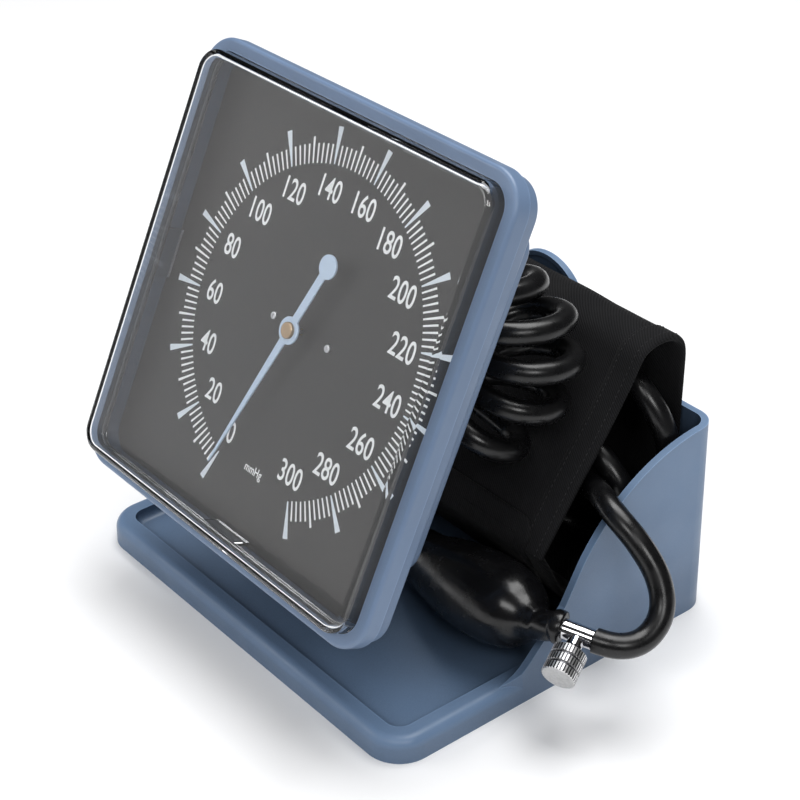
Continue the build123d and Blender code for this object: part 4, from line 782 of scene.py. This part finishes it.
bladder_bag = pillow("bladder_bag", 37.9, 65.2, 100.8, 9.9, 12.3, black_rubber, 0.1)
shape = bmesh.new()
shape.from_mesh(bladder_bag.data)
neck_angles = [2 * pi * index / BAG_NECK_SIDES for index in range(BAG_NECK_SIDES)]
for neck_y, neck_z in BAG_NECKS:
    rings = [[mm(x, neck_y + radius * cos(angle), neck_z + radius * sin(angle)) for angle in neck_angles]
             for x, radius in BAG_NECK_PROFILE]
    neck_vertices, neck_faces = ring_skin(rings)
    made = [shape.verts.new(vertex) for vertex in neck_vertices]
    for face in neck_faces:
        shape.faces.new([made[index] for index in face]).smooth = True
bmesh.ops.recalc_face_normals(shape, faces=shape.faces)
shape.to_mesh(bladder_bag.data)
shape.free()
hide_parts("bladder")
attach(bladder_bag, "stand")


# Stitching: short raised threads along lines on the cuff's outer face
STITCH_LENGTH = 1.7
STITCH_GAP = 0.6
THREAD_RADIUS = 0.2
THREAD_SIDES = 6
THREAD_LOOK_AHEAD = 0.2
# Rings of one stitch, as (share of its length, lift, share of the radius)
THREAD_RINGS = ((0.0, -0.22, 0.35), (0.2, -0.02, 0.9), (0.5, 0.05, 1.0), (0.8, -0.02, 0.9),
                (1.0, -0.22, 0.35))


def outline_lengths():
    lengths = [0.0]
    for index in range(len(cuff_outline)):
        after = cuff_outline[(index + 1) % len(cuff_outline)]
        lengths.append(lengths[-1] + (after - cuff_outline[index]).length)
    return lengths


cuff_lengths = outline_lengths()


def cuff_surface(x, along, lift):
    """Place and normal on the cuff's outer face, by the length round its section."""
    along = along % cuff_lengths[-1]
    index = 0
    while cuff_lengths[index + 1] < along:
        index += 1
    share = (along - cuff_lengths[index]) / (cuff_lengths[index + 1] - cuff_lengths[index])
    after = (index + 1) % len(cuff_outline)
    place = cuff_outline[index].lerp(cuff_outline[after], share)
    normal = cuff_normals[index].lerp(cuff_normals[after], share).normalized()
    off = cuff_swell(x, place) + lift
    return mm(x, place.x + normal.x * off, place.y + normal.y * off), Vector((0, normal.x, normal.y))


def stitches(name, runs, material):
    """Threads that dip into the cloth at both ends, one after another on each run of (x, along) points."""
    points = []
    quads = []
    angles = [2 * pi * index / THREAD_SIDES for index in range(THREAD_SIDES)]
    for run in runs:
        travelled = [0.0]
        for (x0, a0), (x1, a1) in zip(run, run[1:]):
            travelled.append(travelled[-1] + ((x1 - x0) ** 2 + (a1 - a0) ** 2) ** 0.5)

        def on_run(distance):
            index = 0
            while index < len(run) - 2 and travelled[index + 1] < distance:
                index += 1
            span = travelled[index + 1] - travelled[index]
            share = min(1.0, (distance - travelled[index]) / span)
            (x0, a0), (x1, a1) = run[index], run[index + 1]
            return x0 + (x1 - x0) * share, a0 + (a1 - a0) * share

        for number in range(int(travelled[-1] / (STITCH_LENGTH + STITCH_GAP))):
            start = number * (STITCH_LENGTH + STITCH_GAP)
            rings = []
            for share, lift, size in THREAD_RINGS:
                at = start + STITCH_LENGTH * share
                place, normal = cuff_surface(*on_run(at), lift)
                ahead = cuff_surface(*on_run(at + THREAD_LOOK_AHEAD), lift)[0]
                side = (ahead - place).cross(normal).normalized()
                rings.append([place + (side * cos(angle) + normal * sin(angle)) * THREAD_RADIUS * size * MM
                              for angle in angles])
            ring_vertices, ring_faces = ring_skin(rings)
            base = len(points)
            points += ring_vertices
            quads += [tuple(base + index for index in face) for face in ring_faces]
    piece = add_mesh(name, points, quads, material)
    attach(piece, "stand")


def along_at(y, z):
    """Length round the section up to its point nearest to a place."""
    nearest = min(range(len(cuff_outline)), key=lambda index: (cuff_outline[index] - Vector((y, z))).length)
    return cuff_lengths[nearest]


HEM_FROM = along_at(72.0, 70.0)
HEM_TO = along_at(25.6, 11.8)
HEM_STEPS = 60
STITCH_LINES = (CUFF_HALF - HEM_WIDTH + 1.4, CUFF_HALF - 3.0)

hem_heights = [HEM_FROM + (HEM_TO - HEM_FROM) * step / HEM_STEPS for step in range(HEM_STEPS + 1)]
hem_runs = [[(sign * x, along) for along in hem_heights] for x in STITCH_LINES for sign in (-1, 1)]
stitches("hem_stitches", hem_runs, thread_black)

# Sewn fastening patch low on the front, with rounded corners and a quilted edge
FRONT_FOLD = (3.6, 44.8)
PATCH_ABOVE_FOLD = 9.5
PATCH_TOP = along_at(*FRONT_FOLD) - PATCH_ABOVE_FOLD
PATCH_BOTTOM = along_at(13.3, 24.3)
PATCH_HALF = 68.0
PATCH_CORNER = 7.0
PATCH_SIDE_STEP = 4
PATCH_CORNER_STEPS = 8
PATCH_TOP_STEPS = 20
PATCH_THICK = 0.4
# Rings of the patch, as (inset, lift off the cuff's face)
PATCH_RINGS = ((0.0, -0.1), (0.05, 0.5), (0.5, 0.75), (1.2, 0.78), (2.2, 0.6), (4.0, 0.75), (5.2, 0.6),
               (6.2, 0.78), (6.9, 0.78))


def patch_outline(inset):
    """Both sides and the top edge of the patch, as (x, along) points, with rounded corners."""
    half = PATCH_HALF - inset
    top = PATCH_TOP + inset
    corner = PATCH_CORNER - inset
    left, right = -half + corner, half - corner
    angles = [pi / 2 * step / PATCH_CORNER_STEPS for step in range(PATCH_CORNER_STEPS + 1)]
    run = [(-half, PATCH_BOTTOM), (-half, top + corner + PATCH_SIDE_STEP)]
    run += [(left - corner * cos(angle), top + corner - corner * sin(angle)) for angle in angles]
    run += [(left + (right - left) * step / PATCH_TOP_STEPS, top) for step in range(1, PATCH_TOP_STEPS)]
    run += [(right + corner * sin(angle), top + corner - corner * cos(angle)) for angle in angles]
    run += [(half, top + corner + PATCH_SIDE_STEP), (half, PATCH_BOTTOM)]
    return run


def patch_mesh():
    """Cloth layer of the patch: rings that follow its outline, each on the cuff's face."""
    rings = [[cuff_surface(x, along, lift)[0] for x, along in patch_outline(inset)]
             for inset, lift in PATCH_RINGS]
    count = len(rings[0])
    points = [point for ring in rings for point in ring]
    quads = []
    for row in range(len(rings) - 1):
        for index in range(count - 1):
            a = row * count + index
            quads.append((a, a + 1, a + count + 1, a + count))
    last = (len(rings) - 1) * count
    for index in range((count - 1) // 2):
        a, b = last + index, last + index + 1
        c, d = last + count - 2 - index, last + count - 1 - index
        quads.append((a, b, c, d))
    return points, quads


vertices, faces = patch_mesh()
patch = add_mesh("cuff_patch", vertices, faces, cloth)
thickness = patch.modifiers.new("thickness", "SOLIDIFY")
thickness.thickness = PATCH_THICK * MM
thickness.offset = -1
apply_modifiers(patch)
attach(patch, "stand")


# Dial print: ticks, wedges and numbers, a hair above the plate
DIAL_FRONT = -10.8
PRINT_HEIGHT = 0.05
ZERO_ANGLE = 159.3
SCALE_TOP = 300
# Marks, as (inner radius, outer radius, inner width, outer width)
TWENTY_MARK = (59.8, 73.0, 0.55, 2.5)
TEN_MARK = (59.6, 69.0, 0.62, 1.0)
TWO_MARK = (59.6, 66.6, 0.62, 0.8)
NUMBER_RADIUS = 50.8
NUMBER_HEIGHT = 7.9
NUMBER_SQUEEZE = 0.74
UNIT_PLACE = (-0.6, -54.3)
UNIT_HEIGHT = 3.2
UNIT_SQUEEZE = 0.78
CAPITAL_SHARE = 0.69
INK_SPREAD = 0.0000135
LETTER_SPACING = 1.02


def dial_place(x, y, lift=PRINT_HEIGHT):
    return head_matrix @ (Vector((x, y, DIAL_FRONT + lift)) * MM)


def scale_angle(value):
    return radians(-ZERO_ANGLE + 2 * ZERO_ANGLE * value / SCALE_TOP)


def tick(value, inner, outer, inner_width, outer_width):
    """Four corners of a mark that points at the dial's centre."""
    angle = scale_angle(value)
    along = Vector((sin(angle), cos(angle)))
    side = Vector((along.y, -along.x))
    corners = []
    for radius, width in ((inner, inner_width), (outer, outer_width)):
        for sign in (-1, 1):
            corners.append(along * radius + side * (sign * width / 2))
    return [corners[0], corners[1], corners[3], corners[2]]


def flat_marks(name, outlines, material):
    """Thin raised ink in the shape of the outlines."""
    vertices = []
    faces = []
    for outline in outlines:
        count = len(outline)
        start = len(vertices)
        for lift in (0.0, PRINT_HEIGHT):
            vertices += [dial_place(point.x, point.y, lift) for point in outline]
        faces.append(tuple(start + count + index for index in range(count)))
        faces.append(tuple(start + index for index in reversed(range(count))))
        for index in range(count):
            after = (index + 1) % count
            faces.append((start + index, start + after, start + count + after, start + count + index))
    piece = add_mesh(name, vertices, faces, material, smooth=False)
    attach(piece, "head")
    return piece


fine_marks = []
wedge_marks = []
for value in range(0, SCALE_TOP + 1, 2):
    if value % 20 == 0:
        wedge_marks.append(tick(value, *TWENTY_MARK))
    elif value % 10 == 0:
        fine_marks.append(tick(value, *TEN_MARK))
    else:
        fine_marks.append(tick(value, *TWO_MARK))
scale_ticks = flat_marks("scale_ticks", fine_marks, scale_white)
scale_wedges = flat_marks("scale_wedges", wedge_marks, wedge_blue)


def dial_text(name, words, x, y, height, squeeze):
    """Printed words, centred on a place of the dial."""
    curve = bpy.data.curves.new(name, "FONT")
    curve.body = words
    curve.size = height / CAPITAL_SHARE * MM
    curve.align_x = "CENTER"
    curve.align_y = "CENTER"
    curve.extrude = PRINT_HEIGHT / 2 * MM
    curve.offset = height * INK_SPREAD
    curve.space_character = LETTER_SPACING
    curve.materials.append(scale_white)
    words_object = bpy.data.objects.new(name, curve)
    bpy.context.scene.collection.objects.link(words_object)
    lift = DIAL_FRONT + PRINT_HEIGHT / 2
    place = head_matrix @ Matrix.Translation(Vector((x, y, lift)) * MM)
    words_object.matrix_world = place @ Matrix.Diagonal((squeeze, 1.0, 1.0, 1.0))
    bpy.context.view_layer.update()
    mesh = bpy.data.meshes.new_from_object(words_object.evaluated_get(bpy.context.evaluated_depsgraph_get()))
    mesh.transform(words_object.matrix_world)
    bpy.data.objects.remove(words_object)
    piece = bpy.data.objects.new(name, mesh)
    bpy.context.scene.collection.objects.link(piece)
    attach(piece, "head")


for value in range(0, SCALE_TOP + 1, 20):
    angle = scale_angle(value)
    dial_text(f"scale_{value}", str(value), NUMBER_RADIUS * sin(angle), NUMBER_RADIUS * cos(angle),
              NUMBER_HEIGHT, NUMBER_SQUEEZE)
dial_text("scale_unit", "mmHg", *UNIT_PLACE, UNIT_HEIGHT, UNIT_SQUEEZE)


# Floor, backdrop and lights
FLOOR_HALF = 1.5
FLOOR_FADE_START = 0.75
FLOOR_FADE_END = 1.45
AIM = (0.0, 0.0, 0.08)
DIAL_AIM = (0.0, -0.05, 0.12)
AMBIENT_STRENGTH = 0.16
MIRRORED_STRENGTH = 0.05


def backdrop_material():
    """Pale floor that keeps the object's shadow and fades out into the white backdrop."""
    material, tree, shader = new_material("pale_floor")
    place = texture_place(tree)
    pale = ramp(tree, noise(tree, place, 6, 2), (0.93, 0.93, 0.935), (0.95, 0.95, 0.955))
    link(tree, pale, shader.inputs["Base Color"])
    shader.inputs["Roughness"].default_value = 0.9
    distance = tree.nodes.new("ShaderNodeVectorMath")
    distance.operation = "LENGTH"
    link(tree, place, distance.inputs[0])
    fade = tree.nodes.new("ShaderNodeMapRange")
    fade.interpolation_type = "SMOOTHSTEP"
    fade.inputs["From Min"].default_value = FLOOR_FADE_START
    fade.inputs["From Max"].default_value = FLOOR_FADE_END
    link(tree, distance.outputs["Value"], fade.inputs["Value"])
    clear_away = tree.nodes.new("ShaderNodeBsdfTransparent")
    mixed = tree.nodes.new("ShaderNodeMixShader")
    link(tree, fade.outputs["Result"], mixed.inputs["Fac"])
    link(tree, shader.outputs["BSDF"], mixed.inputs[1])
    link(tree, clear_away.outputs["BSDF"], mixed.inputs[2])
    link(tree, mixed.outputs["Shader"], tree.nodes["Material Output"].inputs["Surface"])
    return material


corners = [(x * FLOOR_HALF, y * FLOOR_HALF, 0) for x, y in ((-1, -1), (1, -1), (1, 1), (-1, 1))]
floor = add_mesh("floor", corners, [(0, 1, 2, 3)], backdrop_material(), smooth=False)

# White to the camera and through the lens, dim to reflections, soft and pale as light
world = bpy.data.worlds.new("studio")
bpy.context.scene.world = world
world.use_nodes = True
tree = world.node_tree
tree.nodes.clear()
output = tree.nodes.new("ShaderNodeOutputWorld")


def backdrop(colour, strength):
    node = tree.nodes.new("ShaderNodeBackground")
    node.inputs["Color"].default_value = (*colour, 1)
    node.inputs["Strength"].default_value = strength
    return node.outputs["Background"]


seen = backdrop((1, 1, 1), 1.0)
ambient = backdrop((0.95, 0.97, 1.0), AMBIENT_STRENGTH)
mirrored = backdrop((1, 1, 1), MIRRORED_STRENGTH)
path = tree.nodes.new("ShaderNodeLightPath")
through = tree.nodes.new("ShaderNodeMath")
through.operation = "MAXIMUM"
first = tree.nodes.new("ShaderNodeMixShader")
second = tree.nodes.new("ShaderNodeMixShader")
link(tree, path.outputs["Is Camera Ray"], through.inputs[0])
link(tree, path.outputs["Is Transmission Ray"], through.inputs[1])
link(tree, through.outputs["Value"], second.inputs["Fac"])
link(tree, path.outputs["Is Glossy Ray"], first.inputs["Fac"])
link(tree, ambient, first.inputs[1])
link(tree, mirrored, first.inputs[2])
link(tree, first.outputs["Shader"], second.inputs[1])
link(tree, seen, second.inputs[2])
link(tree, second.outputs["Shader"], output.inputs["Surface"])


def softbox(name, place, target, width, height, power, colour=(1, 1, 1)):
    light = bpy.data.lights.new(name, "AREA")
    light.shape = "RECTANGLE"
    light.size = width
    light.size_y = height
    light.energy = power
    light.color = colour
    piece = bpy.data.objects.new(name, light)
    bpy.context.scene.collection.objects.link(piece)
    piece.location = place
    aim = (Vector(target) - Vector(place)).normalized()
    piece.rotation_euler = aim.to_track_quat("-Z", "Y").to_euler()


softbox("overhead", (-0.1, 0.32, 1.5), AIM, 1.2, 1.0, 24)
softbox("window", (-0.73, -0.93, 0.72), AIM, 0.75, 0.40, 3.6)
softbox("low_card", (-1.04, -1.08, 0.31), DIAL_AIM, 1.0, 0.58, 0.6, (1.0, 0.97, 0.97))
softbox("front", (0.55, -1.05, 1.15), AIM, 0.5, 0.4, 4.5)
softbox("key", (1.10, -0.45, 1.0), AIM, 0.5, 0.35, 4.5)

bpy.context.scene.view_settings.view_transform = "Standard"
